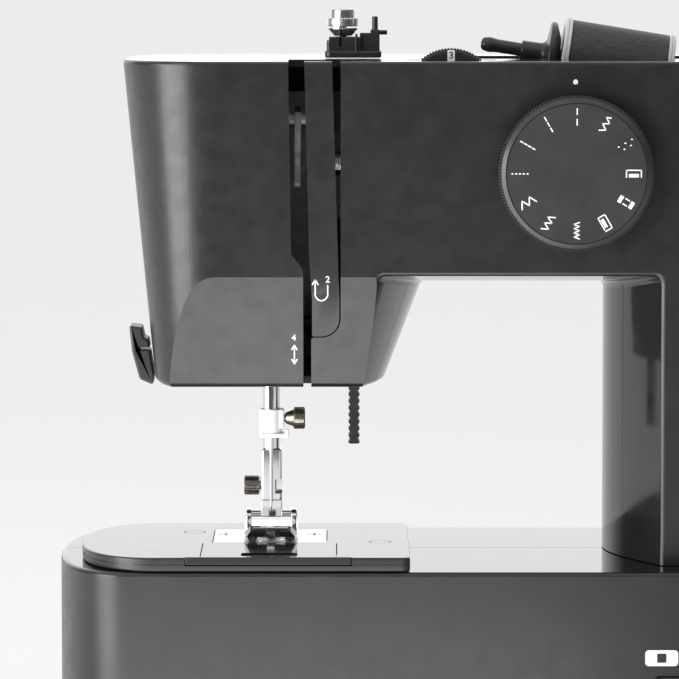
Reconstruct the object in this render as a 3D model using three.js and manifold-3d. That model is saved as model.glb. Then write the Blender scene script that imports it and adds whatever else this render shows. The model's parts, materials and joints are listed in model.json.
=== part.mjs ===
// A compact household sewing machine, in millimetres, +Z up, needle side at the front (-Y).
// The origin is on the table, at the middle of the machine's footprint.
import * as THREE from 'three';
import { mergeVertices } from 'three/addons/utils/BufferGeometryUtils.js';
import Module from 'manifold-3d';

const wasm = await Module();
wasm.setup();

// ---------------------------------------------------------------- driving dimensions

const GAP = 0.3;          // clearance between touching pieces
const WALL = 2.5;         // moulded cover thickness
const FAR = 400;          // longer than anything here, for half-space cutters

const BASE = { left: -147.5, right: 135.5, depth: 60, bottom: 4, top: 77, endLength: 26 };
const BODY = { depth: 44, top: 248, right: 133, cornerRadius: 10, seamY: -20 };
const ARM = { bottom: 175.8, bulge: 4.8 };
const COLUMN = { left: 58.1, bulge: 17.4 };
const HEAD = { left: -125.5, endLength: 33, right: -38, bulge: 17.4, bottom: 137 };
const BULGE_PEAK_Y = 6;   // where the inner walls stand furthest into the throat
const FACET = { top: 175.3, setBack: 10 };

const BED = { left: -139.6, right: -27.2, front: -60, back: 33, bottom: 77.3, top: 82, endLength: 26.6 };
const NEEDLE = { x: -74.7, y: -10 };
const PRESSER = { x: NEEDLE.x, y: 4 };
const PLATE = { left: -94.5, right: -55.5, front: -22.6, back: 13, top: 82.2, thickness: 1.7 };
const COVER = { left: -97.8, right: -52.1, front: -59.4, lip: 5 };

const MAIN_SHAFT = { y: -10, z: 212, radius: 4 };
const LOWER_SHAFT = { y: -11, z: 31, radius: 4 };
const MOTOR = { y: 20, z: 40, radius: 19 };
const CRANK_THROW = 15;
const TIMING_BELT = { x: 112, width: 6, radius: 11 };
const MOTOR_BELT = { x: 122, width: 6, driven: 22, driver: 7 };
const HOOK = { x: NEEDLE.x, y: -33, radius: 20.3 };
const LIFTER = { x: -45.9, y: 20, z: 154 };

const DIAL = { x: 28.6, z: 210.7, radius: 26.2, face: -52 };
const TENSION = { x: -13.1, y: -25, z: 236.4, radius: 15.7, width: 5.4 };
const WHEEL = { radius: 27, inner: 136, outer: 147.5 };
const SPOOL_PIN = { tipX: -2, y: 5, tipZ: 252.9, baseX: 71.6, tilt: THREE.MathUtils.degToRad(9.2), radius: 2.3 };
const TROUGH = { left: -14, right: 72, front: -12, back: 22, floor: 226.5 };
const GUIDE = { x: -49.8, y: -5 };
const SWITCH = { left: 55.3, right: 83.3, bottom: 33.9, top: 41.9 };
const REVERSE = { x: 97, z: 120, radius: 11 };
const WINDER = { x: 104, y: 5 };

// ---------------------------------------------------------------- materials

const finish = (color, roughness, metalness = 0) => new THREE.MeshStandardMaterial({ color, roughness, metalness });
const satinBlack = finish(0x2b2b2b, 0.55);
const glossBlack = finish(0x141414, 0.18);
const darkPlastic = finish(0x1c1c1c, 0.45);
const whitePlastic = finish(0xe9e9e6, 0.35);
const clearPlastic = finish(0xdfe3e6, 0.1);
const rubber = finish(0x161616, 0.85);
const steel = finish(0xb9bbbd, 0.28, 1);
const chrome = finish(0xd6d8da, 0.12, 1);
const darkSteel = finish(0x7d7468, 0.4, 1);
const castMetal = finish(0x8f9193, 0.6, 0.8);
const thread = finish(0x101010, 0.75);
const boardGreen = finish(0x1f4a30, 0.5);

// ---------------------------------------------------------------- solids

// A closed three.js geometry as a solid, with its shared vertices merged and its slivers dropped.
function solid(geometry) {
  const bare = geometry.clone();
  bare.deleteAttribute('normal');
  bare.deleteAttribute('uv');
  const merged = mergeVertices(bare, 1e-4);
  const index = merged.index.array;
  const kept = [];
  for (let i = 0; i < index.length; i += 3) {
    const [a, b, c] = index.slice(i, i + 3);
    if (a !== b && b !== c && c !== a) kept.push(a, b, c);
  }
  const mesh = new wasm.Mesh({
    numProp: 3,
    vertProperties: new Float32Array(merged.attributes.position.array),
    triVerts: new Uint32Array(kept),
  });
  return new wasm.Manifold(mesh);
}

const join = (...pieces) => pieces.reduce((sum, piece) => sum.add(piece));
const cut = (body, ...tools) => tools.reduce((left, tool) => left.subtract(tool), body);

// A block between two corners.
function block(x0, x1, y0, y1, z0, z1) {
  const geometry = new THREE.BoxGeometry(x1 - x0, y1 - y0, z1 - z0);
  geometry.translate((x0 + x1) / 2, (y0 + y1) / 2, (z0 + z1) / 2);
  return solid(geometry);
}

// An outline pushed between two heights. Rounding takes its edge inside the outline, so the size stays.
function extrusion(shape, depth, rounding, steps, roundingSteps = 2) {
  return new THREE.ExtrudeGeometry(shape, {
    depth: depth - 2 * rounding,
    steps,
    curveSegments: 10,
    bevelEnabled: rounding > 0,
    bevelThickness: rounding,
    bevelSize: rounding,
    bevelOffset: -rounding,
    bevelSegments: roundingSteps,
  }).translate(0, 0, rounding);
}

// The outline lies in XY, and the prism stands along Z.
function prismZ(shape, z0, z1, rounding = 0, steps = 1) {
  return solid(extrusion(shape, z1 - z0, rounding, steps).translate(0, 0, z0));
}

// The outline lies in XZ, and the prism runs along Y.
function prismY(shape, y0, y1, rounding = 0) {
  return solid(extrusion(shape, y1 - y0, rounding, 1).rotateX(Math.PI / 2).translate(0, y1, 0));
}

// The outline lies in YZ, and the prism runs along X.
function prismX(shape, x0, x1, rounding = 0) {
  const turn = new THREE.Matrix4().set(0, 0, 1, x0, 1, 0, 0, 0, 0, 1, 0, 0, 0, 0, 0, 1);
  return solid(extrusion(shape, x1 - x0, rounding, 1).applyMatrix4(turn));
}

const outline = (points) => new THREE.Shape(points.map(([x, y]) => new THREE.Vector2(x, y)));

// A profile of (radius, height) pairs, from the axis round to the axis, spun about +Z.
function spinZ(profile, segments = 16) {
  const points = profile.map(([r, h]) => new THREE.Vector2(r, h));
  return solid(new THREE.LatheGeometry(points, segments).rotateX(Math.PI / 2));
}

const aboutX = (profile, segments) => spinZ(profile, segments).rotate([0, 90, 0]);
const aboutFront = (profile, segments) => spinZ(profile, segments).rotate([90, 0, 0]);

// A round bar between two points.
function rod(radius, from, to, segments = 12) {
  const start = new THREE.Vector3(...from);
  const way = new THREE.Vector3(...to).sub(start);
  const geometry = new THREE.CylinderGeometry(radius, radius, way.length(), segments);
  const turn = new THREE.Quaternion().setFromUnitVectors(new THREE.Vector3(0, 1, 0), way.clone().normalize());
  geometry.applyQuaternion(turn);
  geometry.translate(...start.addScaledVector(way, 0.5).toArray());
  return solid(geometry);
}

const rodX = (radius, x0, x1, y, z, segments) => rod(radius, [x0, y, z], [x1, y, z], segments);
const rodY = (radius, y0, y1, x, z, segments) => rod(radius, [x, y0, z], [x, y1, z], segments);
const rodZ = (radius, z0, z1, x, y, segments) => rod(radius, [x, y, z0], [x, y, z1], segments);

// A wheel outline with evenly spaced teeth or ridges.
function toothed(radius, depth, teeth) {
  const shape = new THREE.Shape();
  for (let i = 0; i < teeth * 4; i += 1) {
    const angle = (i / (teeth * 4)) * 2 * Math.PI;
    const r = i % 4 < 2 ? radius : radius - depth;
    shape[i ? 'lineTo' : 'moveTo'](r * Math.cos(angle), r * Math.sin(angle));
  }
  shape.closePath();
  return shape;
}

// ---------------------------------------------------------------- the scene

const machine = new THREE.Group();

function add(name, body, material, place = [0, 0, 0]) {
  const { vertProperties, triVerts, numProp } = body.getMesh();
  const geometry = new THREE.BufferGeometry();
  const positions = new Float32Array((vertProperties.length / numProp) * 3);
  for (let i = 0; i < positions.length / 3; i += 1) {
    for (let k = 0; k < 3; k += 1) positions[i * 3 + k] = vertProperties[i * numProp + k];
  }
  geometry.setAttribute('position', new THREE.BufferAttribute(positions, 3));
  geometry.setIndex(new THREE.BufferAttribute(new Uint32Array(triVerts), 1));
  geometry.computeVertexNormals();
  const mesh = new THREE.Mesh(geometry, material);
  mesh.name = name;
  mesh.position.set(...place);
  machine.add(mesh);
}

// ---------------------------------------------------------------- outer shape

// How far the inner walls bulge at a given depth, from 0 at the front and rear faces to 1.
function bulgeAt(y, depth) {
  const reach = y < BULGE_PEAK_Y ? depth + BULGE_PEAK_Y : depth - BULGE_PEAK_Y;
  return Math.cos((Math.PI / 2) * Math.min(1, Math.abs(y - BULGE_PEAK_Y) / reach));
}

// Points of a rounded left end: half a superellipse, from the rear side round to the front side.
function roundedEnd(centreX, length, centreY, halfWidth, power, segments = 18) {
  const points = [];
  for (let i = 0; i <= segments; i += 1) {
    const angle = Math.PI / 2 + (i / segments) * Math.PI;
    const c = Math.cos(angle);
    const s = Math.sin(angle);
    const x = centreX + length * Math.sign(c) * Math.abs(c) ** (2 / power);
    const y = centreY + halfWidth * Math.sign(s) * Math.abs(s) ** (2 / power);
    points.push([x, y]);
  }
  return points;
}

// Points of a bulging wall, from the front face to the rear face.
function bulgingWall(x, bulge, depth, segments = 12) {
  const points = [];
  for (let i = 0; i <= segments; i += 1) {
    const y = -depth + (i / segments) * 2 * depth;
    points.push([x + bulge * bulgeAt(y, depth), y]);
  }
  return points;
}

// Points of a rounded corner, from one angle to the next, in degrees.
function corner(x, y, radius, fromAngle, segments = 5) {
  const points = [];
  for (let i = 0; i <= segments; i += 1) {
    const angle = THREE.MathUtils.degToRad(fromAngle + (i / segments) * 90);
    points.push([x + radius * Math.cos(angle), y + radius * Math.sin(angle)]);
  }
  return points;
}

function baseOutline(inset) {
  const depth = BASE.depth - inset;
  const right = BASE.right - inset;
  const radius = 12 - inset;
  return outline([
    ...roundedEnd(BASE.left + BASE.endLength, BASE.endLength - inset, 0, depth, 2.3),
    ...corner(right - radius, -depth + radius, radius, -90),
    ...corner(right - radius, depth - radius, radius, 0),
  ]);
}

function columnOutline(inset) {
  const depth = BODY.depth - inset;
  const right = BODY.right - inset;
  const radius = BODY.cornerRadius - inset;
  return outline([
    ...bulgingWall(COLUMN.left + inset, -COLUMN.bulge, depth).reverse(),
    ...corner(right - radius, -depth + radius, radius, -90),
    ...corner(right - radius, depth - radius, radius, 0),
  ]);
}

function headOutline(inset) {
  const depth = BODY.depth - inset;
  return outline([
    ...roundedEnd(HEAD.left + HEAD.endLength, HEAD.endLength - inset, 0, depth, 2.5),
    ...bulgingWall(HEAD.right - inset, HEAD.bulge, depth),
  ]);
}

function armSection(inset) {
  const depth = BODY.depth - inset;
  const top = BODY.top - inset;
  const radius = 1.5;
  const underside = bulgingWall(0, ARM.bulge, depth, 8).map(([rise, y]) => [y, ARM.bottom + inset - rise]);
  return outline([
    ...underside,
    ...corner(depth - radius, top - radius, radius, 0, 2),
    ...corner(-depth + radius, top - radius, radius, 90, 2),
  ]);
}

// The head narrows downwards: its left end leans in, and its right wall leans in below the arm.
function narrowHead(body) {
  const pivotLeft = HEAD.left + HEAD.endLength;
  const pivotRight = -60;
  return body.warp((point) => {
    const [x, , z] = point;
    if (x < pivotLeft) {
      const lean = (11.1 * (247 - z)) / 113.5;
      point[0] = pivotLeft - (pivotLeft - x) * (1 - lean / HEAD.endLength);
    }
    if (x > pivotRight && z < ARM.bottom) {
      point[0] = pivotRight + (x - pivotRight) * (1 - 0.38 * ((ARM.bottom - z) / (ARM.bottom - HEAD.bottom)));
    }
  });
}

// Everything in front of the tilted facet on the lower front of the head.
function facetCutter(inset) {
  const back = -BODY.depth + inset;
  const height = FACET.top - HEAD.bottom;
  const slope = FACET.setBack / height;
  return prismX(outline([
    [back - 20, FACET.top],
    [back - 20, HEAD.bottom - 10],
    [back + slope * (height + 10), HEAD.bottom - 10],
    [back, FACET.top],
  ]), -140, -20);
}

// The whole upper body, set in by a wall thickness for its inside.
function upperBody(inset) {
  const top = BODY.top - inset;
  const rounding = inset ? 0 : 1.5;
  const columnBottom = inset ? BASE.top - 2 : BASE.top + GAP;
  const column = prismZ(columnOutline(inset), columnBottom, top, rounding);
  const arm = prismX(armSection(inset), -60, 118);
  const head = narrowHead(prismZ(headOutline(inset), HEAD.bottom + inset, top, rounding, 3));
  return join(column, arm, cut(head, facetCutter(inset)));
}

const upperOuter = upperBody(0);
const upperShell = cut(upperOuter, upperBody(WALL));
const inFront = (y) => block(-FAR, FAR, -FAR, y - GAP / 2, -FAR, FAR);
const behind = (y) => block(-FAR, FAR, y + GAP / 2, FAR, -FAR, FAR);

// The thread slots and the channel between them, seen from the front.
const SLOT_LEFT = [[-68.5, 260], [-67.3, 183], [-63.3, 178], [-63.3, 130]];
const SLOT_RIGHT = [[-60.6, 130], [-60.6, 154.4], ...corner(-57.1, 160.9, 6.5, -90, 4), [-50.6, 168], [-50.6, 260]];
const CHANNEL = [
  [-62.9, 247.9], [-61.3, 183], [-60.3, 168], [-60.3, 154.8],
  ...corner(-57.1, 160.9, 6.1, -90, 4), [-51.1, 168], [-53.5, 247.9],
];

// The recess for the spool: deep under the spool, and shallow under the tip of its pin.
function trough(wall) {
  const left = TROUGH.left - wall;
  const right = TROUGH.right + wall;
  return prismY(outline([
    [left, 260], [left, 240.5 - wall], [12 - wall, 237.5 - wall], [24 - wall, TROUGH.floor - wall],
    [right, TROUGH.floor - wall], [right, 260],
  ]), TROUGH.front - wall, TROUGH.back + wall);
}

function armCovers() {
  const slots = prismY(outline([...SLOT_LEFT, ...SLOT_RIGHT]), -60, BODY.seamY + 1);
  const front = cut(upperShell.intersect(inFront(BODY.seamY)), slots);
  const leftSide = block(-FAR, -62, -FAR, FAR, -FAR, FAR);
  const faceCover = front.intersect(leftSide);
  const tensionSlot = block(TENSION.x - 15.5, TENSION.x + 15.5, TENSION.y - 3.3, TENSION.y + 3.3, 240, 260);
  const armFront = cut(
    front.subtract(leftSide),
    rodY(5.6, -50, -30, DIAL.x, DIAL.z, 24),
    rodY(REVERSE.radius + 0.4, -50, -30, REVERSE.x, REVERSE.z, 24),
    tensionSlot,
  );
  const strip = prismY(outline(CHANNEL), -60, -36).intersect(upperOuter);
  add('face_cover', faceCover, satinBlack);
  add('arm_front_cover', armFront, satinBlack);
  add('channel_cover', strip, satinBlack);

  const troughOuter = trough(WALL).intersect(upperOuter);
  const troughInside = trough(0);
  const rear = cut(
    join(upperShell, troughOuter).intersect(behind(BODY.seamY)),
    troughInside,
    rodZ(4.5, 130, 145, NEEDLE.x, NEEDLE.y, 20),
    rodZ(4.5, 130, 145, PRESSER.x, PRESSER.y, 20),
    block(-103.3, -92.7, -8.3, 8.3, 130, 145),
    block(LIFTER.x - 3, LIFTER.x + 3, 15, 60, 130, LIFTER.z - 1),
    block(WINDER.x - 4, WINDER.x + 8, WINDER.y - 4, WINDER.y + 4, 240, 260),
    rodX(5, 125, 140, MAIN_SHAFT.y, MAIN_SHAFT.z, 20),
  );
  add('arm_rear_cover', rear, satinBlack);
}

// ---------------------------------------------------------------- base

function baseShells() {
  const seamY = 4;
  const outer = prismZ(baseOutline(0), BASE.bottom, BASE.top, 1.5);
  const inner = prismZ(baseOutline(WALL), BASE.bottom - 2, BASE.top - WALL);
  const shell = cut(
    outer,
    inner,
    block(-104, -46, -55, 20, 70, 80),
    block(63, 131, -38, 40.5, 70, 80),
    block(SWITCH.left, SWITCH.right, -70, -50, SWITCH.bottom, SWITCH.top),
    block(94.7, 115.3, 50, 70, 24.7, 38.3),
    rodY(6.3, 50, 70, 82, 31.5, 20),
  );
  add('base_front_shell', shell.intersect(inFront(seamY)), satinBlack);
  add('base_rear_shell', shell.intersect(behind(seamY)), satinBlack);
}

function bottomPlate() {
  const plate = prismZ(baseOutline(WALL + GAP), BASE.bottom + GAP, BASE.bottom + GAP + WALL);
  const cradle = rodX(MOTOR.radius + GAP, 40, 95, MOTOR.y, MOTOR.z, 24);
  const rib = (x) => cut(block(x, x + 4, MOTOR.y - 12, MOTOR.y + 12, BASE.bottom + 1, MOTOR.z - 10), cradle);
  add('base_bottom_plate', join(plate, rib(50), rib(78)), darkPlastic);
}

function rubberFeet() {
  const profile = [[0, 0], [8, 0], [9, 1], [9, BASE.bottom], [0, BASE.bottom]];
  const places = [[-108, -38], [-108, 38], [112, -44], [112, 44]];
  places.forEach(([x, y], i) => add(`rubber_foot_${i + 1}`, spinZ(profile, 20), rubber, [x, y, 0]));
}

// ---------------------------------------------------------------- bed

function bedPlate() {
  const halfDepth = (BED.back - BED.front) / 2;
  const centreY = (BED.back + BED.front) / 2;
  const shape = outline([
    ...roundedEnd(BED.left + BED.endLength, BED.endLength, centreY, halfDepth, 2.3),
    ...corner(BED.right - 3, BED.front + 3, 3, -90, 3),
    ...corner(BED.right - 3, BED.back - 3, 3, 0, 3),
  ]);
  const bed = cut(
    prismZ(shape, BED.bottom, BED.top, 0.6),
    block(PLATE.left + 2, PLATE.right - 2, PLATE.front + 2, PLATE.back - 2, 70, 90),
    block(PLATE.left - GAP, PLATE.right + GAP, PLATE.front - GAP, PLATE.back + GAP, 80.2, 90),
    block(COVER.left - GAP, COVER.right + GAP, -70, PLATE.front, 80, 90),
    block(-94.5, -55.5, -52, -24.5, 70, 90),
    block(COVER.left - COVER.lip - GAP, COVER.right + COVER.lip + GAP, -70, -58.2, 79.2, 90),
  );
  add('bed_plate', bed, satinBlack);
}

const FEED_BARS = [
  { x: NEEDLE.x - 6.5, front: -12, back: 9 },
  { x: NEEDLE.x, front: -6.5, back: 9 },
  { x: NEEDLE.x + 6.5, front: -12, back: 9 },
];

function needlePlate() {
  const bottom = PLATE.top - PLATE.thickness;
  const slots = FEED_BARS.map((bar) => block(bar.x - 1.6, bar.x + 1.6, bar.front - 2.3, bar.back + 2.3, 70, 90));
  const plate = cut(
    block(PLATE.left, PLATE.right, PLATE.front, PLATE.back, bottom, PLATE.top),
    block(NEEDLE.x - 4, NEEDLE.x + 4, NEEDLE.y - 1.1, NEEDLE.y + 1.1, 70, 90),
    rodZ(2.4, 70, 90, -90.5, 0, 12),
    rodZ(2.4, 70, 90, -59.7, 0, 12),
    ...slots,
  );
  add('needle_plate', plate, steel);
  const screw = cut(
    spinZ([[0, -1.6], [2.1, -1.6], [2.1, 0], [0, 0]], 12),
    block(-0.35, 0.35, -3, 3, -0.6, 1),
  );
  add('needle_plate_screw_left', screw, steel, [-90.5, 0, PLATE.top]);
  add('needle_plate_screw_right', screw, steel, [-59.7, 0, PLATE.top]);
}

function feedDog() {
  const carrier = block(NEEDLE.x - 9, NEEDLE.x + 9, -7, 11, 74.6, 76.7);
  const bars = FEED_BARS.map((bar) => {
    const length = bar.back - bar.front;
    const teeth = Math.round(length / 1.5);
    const shape = [[bar.back, 76], [bar.front, 76]];
    for (let i = 0; i <= teeth; i += 1) {
      const y = bar.front + (i / teeth) * length;
      shape.push([y, i % 2 ? 82.1 : 82.9]);
    }
    return prismX(outline(shape.reverse()), bar.x - 1, bar.x + 1);
  });
  const sides = [FEED_BARS[0], FEED_BARS[2]].map((bar) => block(bar.x - 1, bar.x + 1, bar.front, 8, 75.2, 76.7));
  const stem = block(NEEDLE.x - 5, NEEDLE.x + 5, 5, 11, 63, 76);
  add('feed_dog', join(carrier, ...bars, ...sides, stem), steel);
}

function bobbinCover() {
  const lip = block(COVER.left - COVER.lip, COVER.right + COVER.lip, -60, -58.6, 79.6, PLATE.top);
  const grip = block(NEEDLE.x - 9.5, NEEDLE.x + 9.5, -57.2, -48.5, 81.4, 90);
  const lid = block(COVER.left, COVER.right, -59, PLATE.front - GAP, 80.4, PLATE.top);
  add('bobbin_cover', cut(join(lid, lip), grip), glossBlack);
}

function bobbinParts() {
  const hook = spinZ([
    [0, 25], [4, 25], [4, 57], [HOOK.radius, 57], [HOOK.radius, 74.2], [17.4, 74.2], [17.4, 60.1], [0, 60.1],
  ], 24);
  const gear = prismZ(toothed(7, 1.4, 10), LOWER_SHAFT.z - 4, LOWER_SHAFT.z + 4);
  const notch = block(12, 30, -5, 3, 68, 80).rotate([0, 0, 60]);
  add('rotary_hook', cut(join(hook, gear), notch), steel, [HOOK.x, HOOK.y, 0]);

  const bobbinCase = spinZ([
    [0, 60.5], [17, 60.5], [17, 74.6], [19.8, 74.6], [19.8, 76], [11, 76], [11, 62.5], [2.6, 62.5], [2.6, 74], [0, 74],
  ], 20);
  add('bobbin_case', bobbinCase, darkPlastic, [HOOK.x, HOOK.y, 0]);

  const bobbin = spinZ([
    [3, 64], [10.2, 64], [10.2, 65.2], [3.9, 65.2], [3.9, 74.3], [10.2, 74.3], [10.2, 75.5], [3, 75.5], [3, 64],
  ], 16);
  add('bobbin', bobbin, clearPlastic, [HOOK.x, HOOK.y, 0]);
}

// ---------------------------------------------------------------- frame and drive

function innerFrame() {
  const back = { y0: 35, y1: 39.5 };
  const wallPiece = (x0, x1, z0, z1) => block(x0, x1, back.y0, back.y1, z0, z1);
  const bracket = (x0, x1, y0, z0, z1) => block(x0, x1, y0, back.y1, z0, z1);
  const lowerPost = (x) => join(
    bracket(x, x + 8, LOWER_SHAFT.y - 8, 61.5, 72),
    block(x, x + 8, LOWER_SHAFT.y - 8, LOWER_SHAFT.y + 8, 23, 62),
  );
  const frame = join(
    wallPiece(-92, 100, 190, 235),
    wallPiece(-92, -53, 141, 200),
    wallPiece(64, 94, 61.5, 200),
    wallPiece(-114, 112, 61.5, 72),
    wallPiece(-114, -106, 7.2, 62),
    wallPiece(104, 112, 7.2, 62),
    bracket(-48, -38, MAIN_SHAFT.y - 8, 204, 220),
    bracket(90, 100, MAIN_SHAFT.y - 8, 204, 220),
    bracket(-82, -71.6, NEEDLE.y - 7, 199, 206),
    bracket(-82, -67, NEEDLE.y - 7, 141, 148.5),
    bracket(-88, -62, HOOK.y - 9, 46, 54),
    block(-88, -62, 20, back.y1, 46, 72),
    lowerPost(-50),
    lowerPost(92),
  );
  const whole = cut(
    frame,
    rodX(MAIN_SHAFT.radius + 0.3, -60, 120, MAIN_SHAFT.y, MAIN_SHAFT.z),
    rodX(LOWER_SHAFT.radius + 0.3, -60, 120, LOWER_SHAFT.y, LOWER_SHAFT.z),
    rodZ(3.1, 130, 250, NEEDLE.x, NEEDLE.y),
    rodZ(3.3, 130, 250, PRESSER.x, PRESSER.y),
    rodZ(4.3, 40, 60, HOOK.x, HOOK.y),
  );
  add('inner_frame', whole, castMetal);
}

function mainShaft() {
  const { radius } = MAIN_SHAFT;
  const shaft = join(
    rodX(radius, -52.6, 142.5, 0, 0),
    rodX(TIMING_BELT.radius, TIMING_BELT.x, TIMING_BELT.x + TIMING_BELT.width, 0, 0, 20),
    rodX(MOTOR_BELT.driven, MOTOR_BELT.x, MOTOR_BELT.x + MOTOR_BELT.width, 0, 0, 24),
  );
  add('main_shaft', shaft, steel, [0, MAIN_SHAFT.y, MAIN_SHAFT.z]);

  const disc = cut(rodX(19, -60, -53, 0, 0, 28), block(-70, -50, -30, -9, 5, 30), block(-70, -50, 9, 30, 5, 30));
  const pin = rodX(2.5, -71.4, -59, 0, CRANK_THROW, 12);
  add('needle_crank', join(disc, pin), castMetal, [0, MAIN_SHAFT.y, MAIN_SHAFT.z]);

  const rim = aboutX([
    [0, 0], [22, 0], [WHEEL.radius, 1.5], [WHEEL.radius, 8.5], [25, 11.5], [21, 11.5], [19, 9.5], [0, 9.5],
  ], 36);
  const scallops = [];
  for (let i = 0; i < 12; i += 1) {
    const angle = (i / 12) * 2 * Math.PI;
    scallops.push(rodX(2.2, -1, 13, 28.2 * Math.cos(angle), 28.2 * Math.sin(angle), 6));
  }
  const wheel = cut(rim, rodX(MAIN_SHAFT.radius + GAP, -1, 7, 0, 0), ...scallops);
  add('handwheel', wheel, darkPlastic, [WHEEL.inner, MAIN_SHAFT.y, MAIN_SHAFT.z]);
}

function lowerShaft() {
  const shaft = join(
    rodX(LOWER_SHAFT.radius, -84, 119, 0, 0),
    rodX(TIMING_BELT.radius, TIMING_BELT.x, TIMING_BELT.x + TIMING_BELT.width, 0, 0, 24),
    prismX(toothed(14, 1.4, 20), NEEDLE.x - 6, NEEDLE.x + 6),
  );
  add('lower_shaft', shaft, steel, [0, LOWER_SHAFT.y, LOWER_SHAFT.z]);
}

// A closed loop round two pulleys, in YZ: the tangent lines and the two arcs.
function beltOutline(a, radiusA, b, radiusB) {
  const away = Math.atan2(b[1] - a[1], b[0] - a[0]);
  const spread = Math.acos((radiusA - radiusB) / Math.hypot(b[0] - a[0], b[1] - a[1]));
  const points = [];
  const arc = (centre, radius, from, to) => {
    for (let i = 0; i <= 12; i += 1) {
      const angle = from + (i / 12) * (to - from);
      points.push([centre[0] + radius * Math.cos(angle), centre[1] + radius * Math.sin(angle)]);
    }
  };
  arc(a, radiusA, away + spread, away - spread + 2 * Math.PI);
  arc(b, radiusB, away - spread, away + spread);
  return outline(points);
}

function belt(a, radiusA, b, radiusB, x, width) {
  const thickness = 1.5;
  const inside = 0.45;
  const outer = prismX(beltOutline(a, radiusA + inside + thickness, b, radiusB + inside + thickness), x, x + width);
  return cut(outer, prismX(beltOutline(a, radiusA + inside, b, radiusB + inside), x - 1, x + width + 1));
}

function driveBelts() {
  const main = [MAIN_SHAFT.y, MAIN_SHAFT.z];
  const lower = [LOWER_SHAFT.y, LOWER_SHAFT.z];
  const motorAxis = [MOTOR.y, MOTOR.z];
  const { radius } = TIMING_BELT;
  add('timing_belt', belt(main, radius, lower, radius, TIMING_BELT.x + 0.3, TIMING_BELT.width - 0.6), rubber);
  const { driven, driver } = MOTOR_BELT;
  add('motor_belt', belt(main, driven, motorAxis, driver, MOTOR_BELT.x + 0.3, MOTOR_BELT.width - 0.6), rubber);
}

function motor() {
  const can = aboutX([
    [0, 0], [17, 0], [MOTOR.radius, 2], [MOTOR.radius, 48], [17, 50], [8, 50], [8, 53], [3, 53], [3, 48], [0, 48],
  ], 20);
  add('motor', can, steel, [40, MOTOR.y, MOTOR.z]);
  const { x, width, driver } = MOTOR_BELT;
  const rotor = join(rodX(2.5, 89, x + width + 1, 0, 0, 12), rodX(driver, x, x + width, 0, 0, 20));
  add('motor_pulley', rotor, steel, [0, MOTOR.y, MOTOR.z]);
}

// ---------------------------------------------------------------- needle and presser bars

function flatLink(from, to, halfWidth, x0, x1) {
  const [y0, z0] = from;
  const [y1, z1] = to;
  const away = Math.atan2(z1 - z0, y1 - y0);
  const points = [];
  [[y0, z0, away + Math.PI / 2], [y1, z1, away - Math.PI / 2]].forEach(([y, z, start]) => {
    for (let i = 0; i <= 6; i += 1) {
      const angle = start + (i / 6) * Math.PI;
      points.push([y + halfWidth * Math.cos(angle), z + halfWidth * Math.sin(angle)]);
    }
  });
  return prismX(outline(points), x0, x1);
}

function needleDrive() {
  const pinZ = MAIN_SHAFT.z + CRANK_THROW;
  const pinBore = (x0, x1) => rodX(2.8, x0, x1, NEEDLE.y, pinZ, 14);
  const link = cut(
    flatLink([NEEDLE.y, pinZ], [NEEDLE.y, 193], 5, -71, -68.2),
    pinBore(-75, -60),
    rodX(2.4, -75, -60, NEEDLE.y, 193, 14),
  );
  add('needle_link', link, steel);

  const lever = cut(
    join(
      flatLink([NEEDLE.y, pinZ], [-20, 214], 4.6, -66.3, -64.3),
      flatLink([-20, 214], [-26, 206], 2.2, -66.3, -64.3),
    ),
    pinBore(-75, -60),
    rodX(1, -70, -60, -26, 206, 8),
  );
  add('take_up_lever', lever, chrome);
}

function needleBar() {
  const bar = join(
    rodZ(2.8, 118, 240, NEEDLE.x, NEEDLE.y, 20),
    block(-78.9, -71.4, NEEDLE.y - 5, NEEDLE.y + 5, 188, 196),
  );
  add('needle_bar', cut(bar, rodZ(1.3, 117, 125, NEEDLE.x, NEEDLE.y, 12)), chrome);

  const clamp = cut(
    join(
      rodZ(4.05, 117.5, 127.3, NEEDLE.x, NEEDLE.y, 20),
      block(-78.2, -70, NEEDLE.y - 4.6, NEEDLE.y + 1, 117.5, 119),
      block(NEEDLE.x + 2, NEEDLE.x + 4.6, NEEDLE.y - 3, NEEDLE.y + 3, 120.5, 127.3),
    ),
    rodZ(3.1, 110, 130, NEEDLE.x, NEEDLE.y, 20),
    rodX(1.7, NEEDLE.x + 2, -60, NEEDLE.y, 124, 12),
  );
  add('needle_clamp', clamp, whitePlastic);

  const screw = join(rodX(1.3, NEEDLE.x + 3.3, -66, NEEDLE.y, 124, 12), rodX(3.8, -66.9, -62.9, NEEDLE.y, 124, 20));
  add('needle_clamp_screw', screw, darkSteel);

  const needle = spinZ([
    [0, 91], [0.12, 91.4], [0.45, 93.5], [0.45, 112], [1, 113.5], [1, 124], [0, 124],
  ], 12);
  add('needle', needle, chrome, [NEEDLE.x, NEEDLE.y, 0]);
}

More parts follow.
